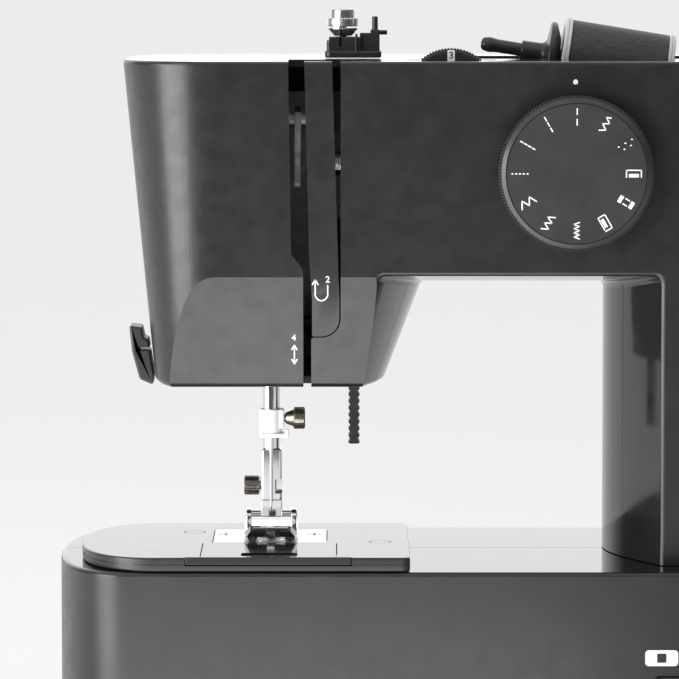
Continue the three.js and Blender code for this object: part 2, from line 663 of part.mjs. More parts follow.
function presserBar() {
  const bar = join(
    rodZ(3, 104, 236, PRESSER.x, PRESSER.y, 20),
    block(-79.5, -71.5, PRESSER.y - 5, LIFTER.y + 4, LIFTER.z + 10, LIFTER.z + 17),
    block(-72, -66, LIFTER.y - 6, LIFTER.y + 4, LIFTER.z + 10, LIFTER.z + 17),
  );
  add('presser_bar', bar, chrome);

  const holder = cut(
    join(
      block(-78.4, -71, PRESSER.y - 4.5, PRESSER.y + 4.5, 94, 112),
      block(-78.4, -71, PRESSER.y - 2.6, PRESSER.y + 5.5, 88, 95),
    ),
    rodZ(3.3, 103.6, 120, PRESSER.x, PRESSER.y, 16),
    rodX(1.9, -90, -77, PRESSER.y, 99, 12),
    rodX(1.6, -90, -60, PRESSER.y, 89, 12),
    block(-90, -60, PRESSER.y - 1.2, PRESSER.y + 1.2, 80, 89),
  );
  add('foot_holder', holder, chrome);

  const screw = join(rodX(3.35, -84.2, -78.9, PRESSER.y, 99, 20), rodX(1.5, -79, -77.3, PRESSER.y, 99, 12));
  add('foot_holder_screw', screw, darkSteel);

  const lever = block(-76.2, -73.2, PRESSER.y + 5.8, PRESSER.y + 12, 91, 93.4);
  add('foot_release_lever', lever, darkSteel);
}

function presserFoot() {
  const soleZ = 83.4;
  const side = [
    [9, soleZ + 1.2], [2, soleZ], [-18, soleZ], [-24, soleZ + 3.2], [-24.6, soleZ + 4.2],
    [-23.6, soleZ + 4.8], [-17, soleZ + 1.9], [9, soleZ + 2.6],
  ];
  const sole = prismX(outline(side.reverse()), -84, -65.4);
  const ear = (x) => block(x, x + 1.8, -1, 7.5, soleZ + 1.5, 91);
  const foot = cut(
    join(sole, ear(-83.4), ear(-67.8), rodX(1.2, -83.6, -65.8, PRESSER.y, 89, 12)),
    block(NEEDLE.x - 4.2, NEEDLE.x + 4.2, NEEDLE.y - 1.6, NEEDLE.y + 1.6, 80, 90),
    block(NEEDLE.x - 1, NEEDLE.x + 1, -30, NEEDLE.y, 80, 92),
  );
  add('presser_foot', foot, chrome);
}

function presserLifter() {
  const { x, y, z } = LIFTER;
  const lever = join(
    rodX(3, -72, x + 1.9, y, z, 16),
    block(-72, -66, y, y + 13, z - 2, z + 2),
    block(x - 1.95, x + 1.95, y - 3, y + 3, 112, z),
  );
  const ribs = [];
  for (let i = 0; i < 8; i += 1) {
    ribs.push(block(x - 3, x - 1.5, y - 5, y + 5, 113.2 + i * 2.4, 114.2 + i * 2.4));
    ribs.push(block(x + 1.5, x + 3, y - 5, y + 5, 113.2 + i * 2.4, 114.2 + i * 2.4));
  }
  add('presser_lifter_lever', cut(lever, ...ribs), darkPlastic);
}

function headFittings() {
  const lens = join(block(-103, -93, -8, 8, 136.2, 140), block(-104.5, -91.5, -9.5, 9.5, 139.9, 141.2));
  add('lamp_lens', lens, clearPlastic);
  const cutter = prismY(outline([
    [-123.7, 155.7], [-122.8, 147], [-120.2, 137.2], [-115.4, 135.1], [-115.2, 138], [-117.1, 151], [-118.6, 151.6],
    [-119.4, 155.2],
  ]), -7, 7);
  add('thread_cutter', cut(cutter, block(-121.5, -116, -10, 10, 147, 148.2)), darkPlastic);
}

// ---------------------------------------------------------------- controls

function stitchDial() {
  const depth = -BODY.depth - GAP - DIAL.face;
  const dial = aboutFront([
    [0, -7], [5, -7], [5, 0], [DIAL.radius, 0], [DIAL.radius, depth - 1.4],
    [DIAL.radius - 1, depth - 0.3], [DIAL.radius - 2.7, depth], [0, depth],
  ], 36);
  add('stitch_dial', dial, darkPlastic, [DIAL.x, -BODY.depth - GAP, DIAL.z]);

  const lobes = [[17, 0], [14.5, 1.2], [16, 2.4], [13.5, 3.4]].map(([radius, phase], i) => {
    const shape = new THREE.Shape();
    for (let k = 0; k < 16; k += 1) {
      const angle = (k / 16) * 2 * Math.PI;
      const r = radius + 1.4 * Math.sin(3 * angle + phase);
      shape[k ? 'lineTo' : 'moveTo'](r * Math.cos(angle), r * Math.sin(angle));
    }
    shape.closePath();
    return prismY(shape, i * 4, i * 4 + 3.6);
  });
  const cam = join(rodY(6, 0, 16.5, 0, 0, 20), ...lobes);
  add('pattern_cam', cam, whitePlastic, [DIAL.x, -36.8, DIAL.z]);
}

function tensionParts() {
  const { x, y, z, radius, width } = TENSION;
  const half = width / 2;
  const dial = aboutFront([
    [2.8, -half], [radius - 0.8, -half], [radius, -half + 0.8], [radius, half - 0.8],
    [radius - 0.8, half], [2.8, half], [2.8, -half],
  ], 24);
  add('tension_dial', dial, darkPlastic, [x, y, z]);
  const discs = aboutFront([
    [0, -5], [4, -5], [8.4, -4.6], [8.4, -3.8], [3.6, -3.3], [3.6, -2.8], [8.4, -2.3],
    [8.4, -1.5], [4, -1], [2.5, -1], [2.5, 11], [0, 11],
  ], 16);
  add('tension_discs', discs, chrome, [x, y + 5, z]);
}

function threadGuides() {
  const { x, y } = GUIDE;
  const bracket = cut(
    join(
      block(-56, -36.6, y - 7, y + 7, BODY.top + GAP, 250.6),
      block(-55.4, -43.4, y - 5.2, y + 5.2, 250, 255.4),
      block(-40.4, -37.2, y - 4, y + 4, 250, 258),
      block(-44, -38, y - 4, y - 1.8, 250, 256.8),
      rodZ(1, 257.5, 262.4, -38.8, y, 10),
      rodX(0.8, -38, -34.6, y, 256.9, 10),
      rodZ(1.2, 255, 261.4, x, y, 12),
    ),
    block(-51.2, -50.2, y - 10, y - 3, 252, 260),
  );
  add('thread_guide_bracket', bracket, darkPlastic);
  const cup = spinZ([[1.6, 255.7], [3, 255.7], [5.2, 258], [5.2, 258.6], [1.6, 258.6], [1.6, 255.7]], 16);
  add('pretension_disc', cup, chrome, [x, y, 0]);
  const knob = spinZ([
    [1.5, 258.9], [5.15, 258.9], [5.15, 261.8], [4, 262.1], [4, 264.6], [3.6, 265], [0, 265], [0, 262], [1.5, 262],
    [1.5, 258.9],
  ], 16);
  add('pretension_knob', knob, steel, [x, y, 0]);
}

// The spool pin leans: its base is in the recess, and its tip stands clear of the top.
function spoolParts() {
  const run = (SPOOL_PIN.baseX - SPOOL_PIN.tipX) / Math.cos(SPOOL_PIN.tilt);
  const lean = THREE.MathUtils.radToDeg(SPOOL_PIN.tilt);
  const alongPin = (profile, segments) => aboutX(profile, segments).rotate([0, lean, 0]);
  const tip = [SPOOL_PIN.tipX, SPOOL_PIN.y, SPOOL_PIN.tipZ];
  const r = SPOOL_PIN.radius;
  add('spool_pin', alongPin([[0, 0], [r - 0.7, 0], [r, 0.8], [r, run], [0, run]], 16), darkPlastic, tip);
  const bore = r + GAP;
  const spool = [
    [bore, 27.8], [13.6, 27.8], [13.6, 29.4], [13.1, 29.6], [13.1, 64.4], [13.4, 64.6], [13.4, 66.2], [bore, 66.2],
    [bore, 27.8],
  ];
  add('thread_spool', alongPin(spool, 20), thread, tip);
  const cap = [
    [bore, 14], [3.5, 14], [3.5, 22.6], [11.3, 23.2], [11.3, 25], [6, 27.2], [bore, 27.2], [bore, 14],
  ];
  add('spool_cap', alongPin(cap, 20), darkPlastic, tip);
}

function bobbinWinder() {
  const { x, y } = WINDER;
  const carrier = cut(
    join(
      spinZ([[0, BODY.top + GAP], [9, BODY.top + GAP], [9, 250], [8, 250.6], [0, 250.6]], 24),
      block(-3.6, 3.6, -3.6, 3.6, 240, 250),
    ),
    rodZ(2.3, 230, 260, 0, 0, 12),
  );
  add('bobbin_winder_carrier', carrier, darkPlastic, [x, y, 0]);
  const spindle = spinZ([
    [0, 238], [2, 238], [2, 251], [4.6, 251], [4.6, 252], [2.8, 252], [2.8, 261], [2, 262], [0, 262],
  ], 16);
  add('bobbin_winder_spindle', spindle, steel, [x, y, 0]);
}

function buttons() {
  const { x, z, radius } = REVERSE;
  const profile = [
    [0, -4.4], [radius + 2, -4.4], [radius + 2, -2.9], [radius, -2.9], [radius, 2.8], [radius - 0.8, 3.5], [0, 3.1],
  ];
  add('reverse_button', aboutFront(profile, 20), darkPlastic, [x, -BODY.depth, z]);
  const { left, bottom, top } = SWITCH;
  const knob = join(
    block(left + 0.6, left + 10.6, -59.7, -54, bottom + 0.5, top - 0.5),
    block(left - 1, left + 13, -57, -54.6, bottom - 1, top + 1),
  );
  add('speed_switch_knob', knob, darkPlastic);
}

function electrics() {
  const board = join(
    block(45, 88, -50, -22, 10, 11.6),
    block(50, 62, -46, -36, 11, 22),
    block(68, 74, -44, -38, 11, 19),
    rodZ(4.5, 11, 25, 80, -30, 16),
    block(45, 50, -34, -26, 11, 16),
  );
  add('control_board', board, boardGreen);
  const socket = cut(
    join(block(95, 115, 48, 59.6, 25, 38), block(94, 116, 54, 57.1, 24, 39)),
    block(98, 112, 51, 70, 27.5, 35.5),
  );
  const pins = [101, 107.6].map((x) => block(x, x + 1.4, 50, 57, 30.5, 32.5));
  add('power_inlet', join(socket, ...pins), darkPlastic);
  const jack = cut(
    join(rodY(6, 46, 59.6, 82, 31.5, 20), rodY(7.5, 54, 57.1, 82, 31.5, 20)),
    rodY(3.6, 49, 70, 82, 31.5, 16),
  );
  add('pedal_jack', jack, darkPlastic);
}

// ---------------------------------------------------------------- assembly

armCovers();
baseShells();
bottomPlate();
rubberFeet();
bedPlate();
needlePlate();
feedDog();
bobbinCover();
bobbinParts();
innerFrame();
mainShaft();
lowerShaft();
driveBelts();
motor();
needleDrive();
needleBar();
presserBar();
presserFoot();
presserLifter();
headFittings();
stitchDial();
tensionParts();
threadGuides();
spoolParts();
bobbinWinder();
buttons();
electrics();

export default machine;
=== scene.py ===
"""The looks of a compact sewing machine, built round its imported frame.

Shapes are made in millimetres and turned into metres in mesh_object. +X points to the handwheel, -Y to the
person sewing and +Z up. Each fine piece stands for one CAD node and rides on that node's body.
"""
import json
import math

import bmesh
import bpy
from mathutils import Matrix, Vector


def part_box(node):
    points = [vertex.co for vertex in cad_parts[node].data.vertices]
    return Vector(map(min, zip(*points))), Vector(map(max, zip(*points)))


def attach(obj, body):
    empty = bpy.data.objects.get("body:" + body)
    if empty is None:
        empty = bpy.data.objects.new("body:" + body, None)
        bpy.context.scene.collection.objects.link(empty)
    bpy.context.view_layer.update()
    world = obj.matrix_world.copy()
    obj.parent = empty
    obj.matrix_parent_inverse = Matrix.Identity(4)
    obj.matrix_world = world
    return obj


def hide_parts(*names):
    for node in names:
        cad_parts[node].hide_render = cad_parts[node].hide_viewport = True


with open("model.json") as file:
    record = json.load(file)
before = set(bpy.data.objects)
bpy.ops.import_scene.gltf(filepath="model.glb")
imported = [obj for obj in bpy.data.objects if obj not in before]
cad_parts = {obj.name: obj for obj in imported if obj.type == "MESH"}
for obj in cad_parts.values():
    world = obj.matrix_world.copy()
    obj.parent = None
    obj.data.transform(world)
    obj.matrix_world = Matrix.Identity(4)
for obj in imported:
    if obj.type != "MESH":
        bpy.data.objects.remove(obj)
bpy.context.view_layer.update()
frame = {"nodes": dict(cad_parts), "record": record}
scene = bpy.context.scene

MM = 0.001
GAP = 0.3       # the seam between two covers
WALL = 2.5      # moulded cover thickness
body_of = {node: body for body, nodes in frame["record"]["behaviour"]["bodies"].items() for node in nodes}
slot_of = {part["node"]: part["material_slot"] for part in frame["record"]["subparts"]}


def span(node):
    """A CAD node's x0, x1, y0, y1, z0, z1 in millimetres."""
    low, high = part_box(node)
    return [value / MM for pair in zip(low, high) for value in pair]


def axis_of(node):
    """The middle of a CAD node's box in millimetres."""
    x0, x1, y0, y1, z0, z1 = span(node)
    return (x0 + x1) / 2, (y0 + y1) / 2, (z0 + z1) / 2


# ---------------------------------------------------------------- materials

def grey(value):
    return (value, value, value)


def shader_of(material):
    return material.node_tree.nodes["Principled BSDF"]


def new_material(name, color, roughness, metallic=0.0, **sockets):
    material = bpy.data.materials.new(name)
    material.use_nodes = True
    shader = shader_of(material)
    shader.inputs["Base Color"].default_value = (*color, 1)
    shader.inputs["Roughness"].default_value = roughness
    shader.inputs["Metallic"].default_value = metallic
    for socket, value in sockets.items():
        shader.inputs[socket.replace("_", " ")].default_value = value
    return material


def add_node(owner, kind, links=(), **settings):
    """A new node in a material or world, with its settings and its (input, socket or value) pairs."""
    node = owner.node_tree.nodes.new(kind)
    for key, value in settings.items():
        setattr(node, key, value)
    for name, value in links:
        if isinstance(value, bpy.types.NodeSocket):
            owner.node_tree.links.new(value, node.inputs[name])
        else:
            node.inputs[name].default_value = value
    return node


def noise(material, size, detail=2.0, stretch=(1, 1, 1)):
    """Noise with features of about this size in millimetres, drawn out along an axis by stretch."""
    place = add_node(material, "ShaderNodeTexCoord").outputs["Object"]
    scale = [1 / (size * MM * s) for s in stretch]
    mapped = add_node(material, "ShaderNodeMapping", [("Vector", place), ("Scale", scale)])
    links = [("Vector", mapped.outputs[0]), ("Scale", 1.0), ("Detail", detail)]
    return add_node(material, "ShaderNodeTexNoise", links).outputs["Fac"]


def cells(material, size):
    """Small cells, as in a spark-eroded mould."""
    place = add_node(material, "ShaderNodeTexCoord").outputs["Object"]
    links = [("Vector", place), ("Scale", 1 / (size * MM))]
    return add_node(material, "ShaderNodeTexVoronoi", links, feature="SMOOTH_F1").outputs["Distance"]


def vary_roughness(material, factor, low, high):
    links = [("Value", factor), ("From Min", 0.3), ("From Max", 0.7), ("To Min", low), ("To Max", high)]
    ranged = add_node(material, "ShaderNodeMapRange", links)
    material.node_tree.links.new(ranged.outputs[0], shader_of(material).inputs["Roughness"])


def vary_color(material, factor, dark, light):
    ramp = add_node(material, "ShaderNodeValToRGB", [("Fac", factor)])
    ramp.color_ramp.elements[0].position = 0.3
    ramp.color_ramp.elements[0].color = (*dark, 1)
    ramp.color_ramp.elements[1].position = 0.7
    ramp.color_ramp.elements[1].color = (*light, 1)
    material.node_tree.links.new(ramp.outputs[0], shader_of(material).inputs["Base Color"])


def relief(material, factor, height, strength=1.0):
    """Bump of a given height in millimetres, on top of any bump the material has already."""
    shader = shader_of(material)
    links = [("Height", factor), ("Distance", height * MM), ("Strength", strength)]
    if shader.inputs["Normal"].links:
        links.append(("Normal", shader.inputs["Normal"].links[0].from_socket))
    bump = add_node(material, "ShaderNodeBump", links)
    material.node_tree.links.new(bump.outputs[0], shader.inputs["Normal"])


def moulded_plastic(name, dark, light, roughness, grain=0.3, depth=0.012):
    material = new_material(name, light, roughness)
    vary_color(material, noise(material, 14, 4), dark, light)
    vary_roughness(material, noise(material, 6, 3), roughness - 0.04, roughness + 0.05)
    relief(material, cells(material, grain), depth, 0.6)
    relief(material, noise(material, grain * 1.7, 3), depth, 0.5)
    return material


def polished_plastic(name, color, roughness):
    material = new_material(name, color, roughness)
    vary_color(material, noise(material, 30, 3), [c * 0.85 for c in color], [c * 1.15 for c in color])
    vary_roughness(material, noise(material, 9, 4), roughness * 0.7, roughness * 1.4)
    relief(material, noise(material, 22, 1), 0.03, 0.25)
    return material


def metal(name, dark, light, roughness, stretch=(1, 1, 14), size=0.25, depth=0.004):
    material = new_material(name, light, roughness, 1.0)
    vary_color(material, noise(material, 5, 3), dark, light)
    vary_roughness(material, noise(material, size, 3, stretch), roughness * 0.7, roughness * 1.35)
    relief(material, noise(material, size, 2, stretch), depth, 0.5)
    return material


def clear_material():
    material = new_material("clear_plastic", (0.93, 0.94, 0.95), 0.12, IOR=1.49, Transmission_Weight=0.85)
    vary_roughness(material, noise(material, 4, 3), 0.08, 0.2)
    relief(material, noise(material, 3, 2), 0.02, 0.3)
    return material


def thread_material():
    material = new_material("wound_thread", grey(0.02), 0.6, Sheen_Weight=0.04, Sheen_Roughness=0.4)
    vary_color(material, noise(material, 0.5, 3, (8, 1, 1)), grey(0.012), grey(0.045))
    vary_roughness(material, noise(material, 0.4, 3), 0.45, 0.7)
    relief(material, noise(material, 0.16, 3, (1, 6, 6)), 0.05, 0.8)
    return material


def board_material():
    material = new_material("circuit_board", (0.06, 0.2, 0.1), 0.35, Coat_Weight=0.4)
    vary_color(material, noise(material, 2.2, 4), (0.03, 0.12, 0.06), (0.08, 0.26, 0.13))
    relief(material, noise(material, 1.2, 2), 0.04, 0.5)
    return material


MATERIALS = {
    "body_plastic": moulded_plastic("satin_black", (0.012, 0.012, 0.0116), (0.016, 0.016, 0.0155), 0.34),
    "glossy_plastic": polished_plastic("gloss_black", grey(0.014), 0.08),
    "dark_plastic": moulded_plastic("fine_black", grey(0.02), grey(0.028), 0.36, 0.2, 0.006),
    "white_plastic": moulded_plastic("white_moulding", (0.8, 0.8, 0.79), (0.86, 0.86, 0.85), 0.3, 0.4,
                                     0.004),
    "clear_plastic": clear_material(),
    "rubber": moulded_plastic("rubber", grey(0.016), grey(0.024), 0.75, 0.5, 0.03),
    "steel": metal("ground_steel", (0.52, 0.52, 0.53), (0.66, 0.66, 0.67), 0.26),
    "chrome": metal("chrome", (0.72, 0.72, 0.73), (0.8, 0.8, 0.81), 0.07, depth=0.001),
    "dark_steel": metal("bronzed_steel", (0.26, 0.24, 0.2), (0.4, 0.37, 0.32), 0.3),
    "cast_frame": metal("cast_metal", (0.4, 0.4, 0.41), (0.55, 0.56, 0.57), 0.5, (1, 1, 1), 0.6, 0.05),
    "thread": thread_material(),
    "board": board_material(),
}
SATIN = MATERIALS["body_plastic"]
GLOSS = MATERIALS["glossy_plastic"]
PRINT = moulded_plastic("white_print", grey(0.78), grey(0.86), 0.5, 0.2, 0.004)
RIM = moulded_plastic("spool_rim", grey(0.5), grey(0.6), 0.4, 0.3, 0.004)
DIAL_FACE = moulded_plastic("dial_face", grey(0.022), grey(0.03), 0.45, 0.16, 0.005)
# A darker steel for the take-up lever: painted shade for the shade it lies in inside the head.
PAINTED_SHADE_STEEL = metal("painted_shade_steel", grey(0.14), grey(0.22), 0.35)


# ---------------------------------------------------------------- outlines

def rounded(points, steps=8):
    """A closed outline of (u, v) or (u, v, radius) points, with an arc at each point that has a radius."""
    result = []
    for i, point in enumerate(points):
        here = Vector(point[:2])
        radius = point[2] if len(point) > 2 else 0
        if not radius:
            result.append(tuple(here))
            continue
        before = (Vector(points[i - 1][:2]) - here).normalized()
        after = (Vector(points[(i + 1) % len(points)][:2]) - here).normalized()
        half = before.angle(after) / 2
        centre = here + (before + after).normalized() * radius / math.sin(half)
        start = here + before * radius / math.tan(half) - centre
        end = here + after * radius / math.tan(half) - centre
        first = math.atan2(start.y, start.x)
        sweep = (math.atan2(end.y, end.x) - first + math.pi) % (2 * math.pi) - math.pi
        for k in range(steps + 1):
            angle = first + sweep * k / steps
            result.append((centre.x + radius * math.cos(angle), centre.y + radius * math.sin(angle)))
    return result


def circle(u, v, radius, steps=48):
    turns = [2 * math.pi * k / steps for k in range(steps)]
    return [(u + radius * math.cos(t), v + radius * math.sin(t)) for t in turns]


def rectangle(u0, u1, v0, v1, radius=0.0, steps=6):
    return rounded([(u0, v0, radius), (u1, v0, radius), (u1, v1, radius), (u0, v1, radius)], steps)


def rounded_end(centre, length, middle, half, power, steps=80):
    """Half a superellipse: a rounded left end, from its rear side round to its front side."""
    points = []
    for k in range(steps + 1):
        angle = math.pi / 2 + math.pi * k / steps
        c = math.cos(angle)
        s = math.sin(angle)
        u = centre + length * math.copysign(abs(c) ** (2 / power), c)
        v = middle + half * math.copysign(abs(s) ** (2 / power), s)
        points.append((u, v))
    return points


def inset(outline, distance):
    """The outline moved inwards by a distance."""
    if not distance:
        return list(outline)
    count = len(outline)
    area = sum(outline[i - 1][0] * outline[i][1] - outline[i][0] * outline[i - 1][1] for i in range(count))
    side = math.copysign(1, area)
    moved = []
    for i, point in enumerate(outline):
        here = Vector(point)
        before = (here - Vector(outline[i - 1])).normalized()
        after = (Vector(outline[(i + 1) % count]) - here).normalized()
        normal = Vector((-before.y - after.y, before.x + after.x)) * side
        if normal.length < 1e-9:
            moved.append(tuple(here))
            continue
        normal.normalize()
        slant = max(0.4, normal.dot(Vector((-before.y, before.x)) * side))
        moved.append(tuple(here + normal * distance / slant))
    return moved


# ---------------------------------------------------------------- meshes

AXES = {"x": lambda u, v, h: (h, u, v), "y": lambda u, v, h: (u, h, v), "z": lambda u, v, h: (u, v, h)}


def mesh_object(name, vertices, faces):
    mesh = bpy.data.meshes.new(name)
    mesh.from_pydata([[c * MM for c in vertex] for vertex in vertices], [], faces)
    obj = bpy.data.objects.new(name, mesh)
    scene.collection.objects.link(obj)
    edit = bmesh.new()
    edit.from_mesh(mesh)
    bmesh.ops.remove_doubles(edit, verts=edit.verts, dist=1e-7)
    bmesh.ops.recalc_face_normals(edit, faces=edit.faces)
    edit.to_mesh(mesh)
    edit.free()
    return obj


def loft(name, rings, closed=False):
    """A skin over rings of equal length. It has flat ends, or runs round to its first ring."""
    count = len(rings[0])
    vertices = [point for ring in rings for point in ring]
    faces = []
    for i in range(len(rings) if closed else len(rings) - 1):
        for k in range(count):
            here = i * count
            there = (i + 1) % len(rings) * count
            faces.append((here + k, here + (k + 1) % count, there + (k + 1) % count, there + k))
    if not closed:
        faces += [tuple(range(count)), tuple(range(len(vertices) - count, len(vertices)))]
    return mesh_object(name, vertices, faces)


def prism(name, outline, low, high, axis="z", edge=0.0, steps=4):
    """An outline pushed from low to high along an axis, with its two rims rounded by edge."""
    put = AXES[axis]
    levels = [(low, 0), (high, 0)]
    if edge:
        turns = [math.pi / 2 * k / steps for k in range(steps + 1)]
        rim = [(edge * (1 - math.sin(t)), edge * (1 - math.cos(t))) for t in turns]
        levels = [(low + rise, shift) for shift, rise in rim]
        levels += [(high - rise, shift) for shift, rise in reversed(rim)]
    return loft(name, [[put(u, v, h) for u, v in inset(outline, shift)] for h, shift in levels])


def block(name, x0, x1, y0, y1, z0, z1, edge=0.0, corner=0.0):
    """A box whose upright edges are rounded."""
    return prism(name, rectangle(x0, x1, y0, y1, corner or edge), z0, z1, "z", edge, 3)


def tablet(name, x0, x1, y0, y1, z0, z1, corner, edge=0.0):
    """A box whose corners are rounded as seen from the front."""
    return prism(name, rectangle(x0, x1, z0, z1, corner), y0, y1, "y", edge)


def lathe(name, profile, centre, axis="z", segments=64):
    """A closed profile of (radius, height) points spun about an axis through centre."""
    put = AXES[axis]
    vertices = []
    rows = []
    for radius, height in profile:
        if radius < 1e-6:
            rows.append([len(vertices)] * segments)
            vertices.append(put(0, 0, height))
            continue
        rows.append([len(vertices) + k for k in range(segments)])
        vertices += [put(u, v, height) for u, v in circle(0, 0, radius, segments)]
    faces = []
    for here, there in zip(rows, rows[1:] + rows[:1]):
        for k in range(segments):
            corners = (here[k], here[(k + 1) % segments], there[(k + 1) % segments], there[k])
            unique = tuple(dict.fromkeys(corners))
            if len(unique) > 2:
                faces.append(unique)
    return move(mesh_object(name, vertices, faces), centre)


def rod(name, radius, low, high, centre, axis="z", edge=0.3, segments=48):
    profile = rounded([(0, low), (radius, low, edge), (radius, high, edge), (0, high)], 3)
    return lathe(name, profile, centre, axis, segments)


def bore(radius, low, high, centre, axis="z"):
    """A tool for a round hole. low and high are measured along the axis from centre."""
    return rod("bore", radius, low, high, centre, axis, 0.01)


def ridged(name, radius, depth, count, low, high, centre, axis="z", edge=0.4):
    """A wheel with ridges along its side, half of each step wide, and bevelled rims."""
    ridge = ((0, radius), (0.5, radius), (0.62, radius - depth), (0.88, radius - depth))
    outline = []
    for k in range(count):
        for share, r in ridge:
            angle = 2 * math.pi * (k + share) / count
            outline.append((r * math.cos(angle), r * math.sin(angle)))
    put = AXES[axis]
    rings = []
    for height, inward in ((low, edge), (low + edge, 0), (high - edge, 0), (high, edge)):
        scale = 1 - inward / radius
        rings.append([put(u * scale, v * scale, height) for u, v in outline])
    return move(loft(name, rings), centre)


def baked(obj):
    """The object's final mesh, as a plain mesh object of the same name."""
    graph = bpy.context.evaluated_depsgraph_get()
    mesh = bpy.data.meshes.new_from_object(obj.evaluated_get(graph))
    name = obj.name
    if obj.type == "MESH":
        obj.modifiers.clear()
        obj.data = mesh
        return obj
    bpy.data.objects.remove(obj)
    made = bpy.data.objects.new(name, mesh)
    scene.collection.objects.link(made)
    return made


def move(obj, offset):
    obj.data.transform(Matrix.Translation(Vector(offset) * MM))
    return obj


def turn(obj, degrees, axis, centre):
    pivot = Matrix.Translation(Vector(centre) * MM)
    obj.data.transform(pivot @ Matrix.Rotation(math.radians(degrees), 4, axis) @ pivot.inverted())
    return obj


def boolean(obj, operation, tools):
    for tool in tools:
        modifier = obj.modifiers.new(operation, "BOOLEAN")
        modifier.operation = operation
        modifier.solver = "MANIFOLD"
        modifier.object = tool
        baked(obj)
        bpy.data.objects.remove(tool)
    return obj


def cut(obj, *tools):
    return boolean(obj, "DIFFERENCE", tools)


def fuse(obj, *tools):
    return boolean(obj, "UNION", tools)


def keep(obj, *tools):
    return boolean(obj, "INTERSECT", tools)


def copy(obj, name):
    made = bpy.data.objects.new(name, obj.data.copy())
    scene.collection.objects.link(made)
    return made


def gather(name, *parts):
    """Several separate bodies as one object."""
    edit = bmesh.new()
    for part in parts:
        edit.from_mesh(part.data)
        bpy.data.objects.remove(part)
    mesh = bpy.data.meshes.new(name)
    edit.to_mesh(mesh)
    edit.free()
    obj = bpy.data.objects.new(name, mesh)
    scene.collection.objects.link(obj)
    return obj


def smooth(obj, angle=32):
    """Smooth shading with sharp edges kept, and flat faces kept flat."""
    edit = bmesh.new()
    edit.from_mesh(obj.data)
    bmesh.ops.remove_doubles(edit, verts=edit.verts, dist=1e-6)
    bmesh.ops.dissolve_limit(edit, angle_limit=math.radians(0.4), verts=edit.verts, edges=edit.edges)
    for edge in edit.edges:
        edge.smooth = edge.calc_face_angle(0) < math.radians(angle)
    for face in edit.faces:
        face.smooth = True
    edit.to_mesh(obj.data)
    edit.free()
    modifier = obj.modifiers.new("flat_faces", "WEIGHTED_NORMAL")
    modifier.keep_sharp = True
    return obj


def paint(obj, material, chosen):
    """Gives a second material to the faces whose centre and normal pass a test, in millimetres."""
    obj.data.materials.append(material)
    index = len(obj.data.materials) - 1
    for face in obj.data.polygons:
        if chosen(face.center / MM, face.normal):
            face.material_index = index


def show(obj, node, *, material=None, stands_in=True, angle=32):
    """Puts a piece on a node's body in the node's finish. It stands for the node unless told not to."""
    if stands_in:
        obj.name = f"{node}_skin"
    smooth(obj, angle)
    obj.data.materials.clear()
    obj.data.materials.append(material or MATERIALS[slot_of[node]])
    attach(obj, body_of[node])
    if stands_in:
        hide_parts(node)
    return obj


# ---------------------------------------------------------------- upper body

HEAD_LEFT = span("arm_rear_cover")[0]
_, _, FRONT, _, HEAD_BOTTOM, TOP = span("face_cover")
_, RIGHT, _, _, COLUMN_BOTTOM, _ = span("arm_front_cover")
DEPTH = -FRONT
SEAM_Y = span("face_cover")[3] + GAP / 2
HEAD_END = 33          # length of the head's rounded end
LEAN = 11.1 / 113.5    # how far the left end leans in for each millimetre down
NARROWING = 0.38       # how much the head's right wall leans in below the arm
NARROW_X = -60
ARM_BOTTOM = 175.8
ARM_BULGE = 4.8        # how far the arch sinks between the front and rear faces
HEAD_RIGHT = -38
COLUMN_LEFT = 58.1
BULGE = 17.4           # how far the two walls of the throat swell between the faces
BULGE_PEAK_Y = 6
EDGE = 1.2             # rounding of the front and rear rims
FACET_TOP = 175.3
FACET_SLOPE = 10 / (FACET_TOP - HEAD_BOTTOM)
NEEDLE_X, NEEDLE_Y, _ = axis_of("needle")
PRESSER_Y = axis_of("foot_holder_screw")[1]
FOOT_PIN_Z = 89


def bulge_at(y, depth):
    """The share of the swelling at one depth: none at the faces, and all of it at its peak."""
    reach = depth + BULGE_PEAK_Y if y < BULGE_PEAK_Y else depth - BULGE_PEAK_Y
    return math.cos(math.pi / 2 * min(1, abs(y - BULGE_PEAK_Y) / reach))


def upper_ring(y, wall):
    """The outline of head, arm and column in XZ at one depth, set in by a wall thickness."""
    depth = DEPTH - wall
    past = max(0, abs(y) - (DEPTH - EDGE)) if not wall else 0
    rim = EDGE - math.sqrt(max(0, EDGE ** 2 - past ** 2))
    bulge = bulge_at(y, depth)
    end = (HEAD_END - wall) * max(0, 1 - abs(y / depth) ** 2.5) ** 0.4
    pivot = HEAD_LEFT + HEAD_END

    def left(z):
        return pivot - end * (1 - LEAN * (TOP - 1 - z) / HEAD_END)

    def head_wall(z):
        straight = HEAD_RIGHT - wall + BULGE * bulge - rim - NARROW_X
        return NARROW_X + straight * (1 - NARROWING * (ARM_BOTTOM - z) / (ARM_BOTTOM - HEAD_BOTTOM))

    radius = 10 - wall
    past = max(0, abs(y) - (depth - radius))
    right = RIGHT - wall - rim - radius + math.sqrt(radius ** 2 - past ** 2)
    bottom = HEAD_BOTTOM + wall + rim
    top = TOP - wall - rim
    arch = ARM_BOTTOM + wall + rim - ARM_BULGE * bulge
    column = COLUMN_LEFT + wall - BULGE * bulge + rim
    foot = COLUMN_BOTTOM - (3 if wall else 0)
    soft = 0 if wall else 1
    outline = rounded([
        (left(bottom), bottom, 2.4 * soft), (head_wall(bottom), bottom, 1.8 * soft),
        (head_wall(arch), arch, 3 * soft), (column, arch, 3 * soft), (column, foot), (right, foot),
        (right, top, 1.5 * soft), (left(top), top, 1.5 * soft),
    ])
    return [(u, y, v) for u, v in outline]


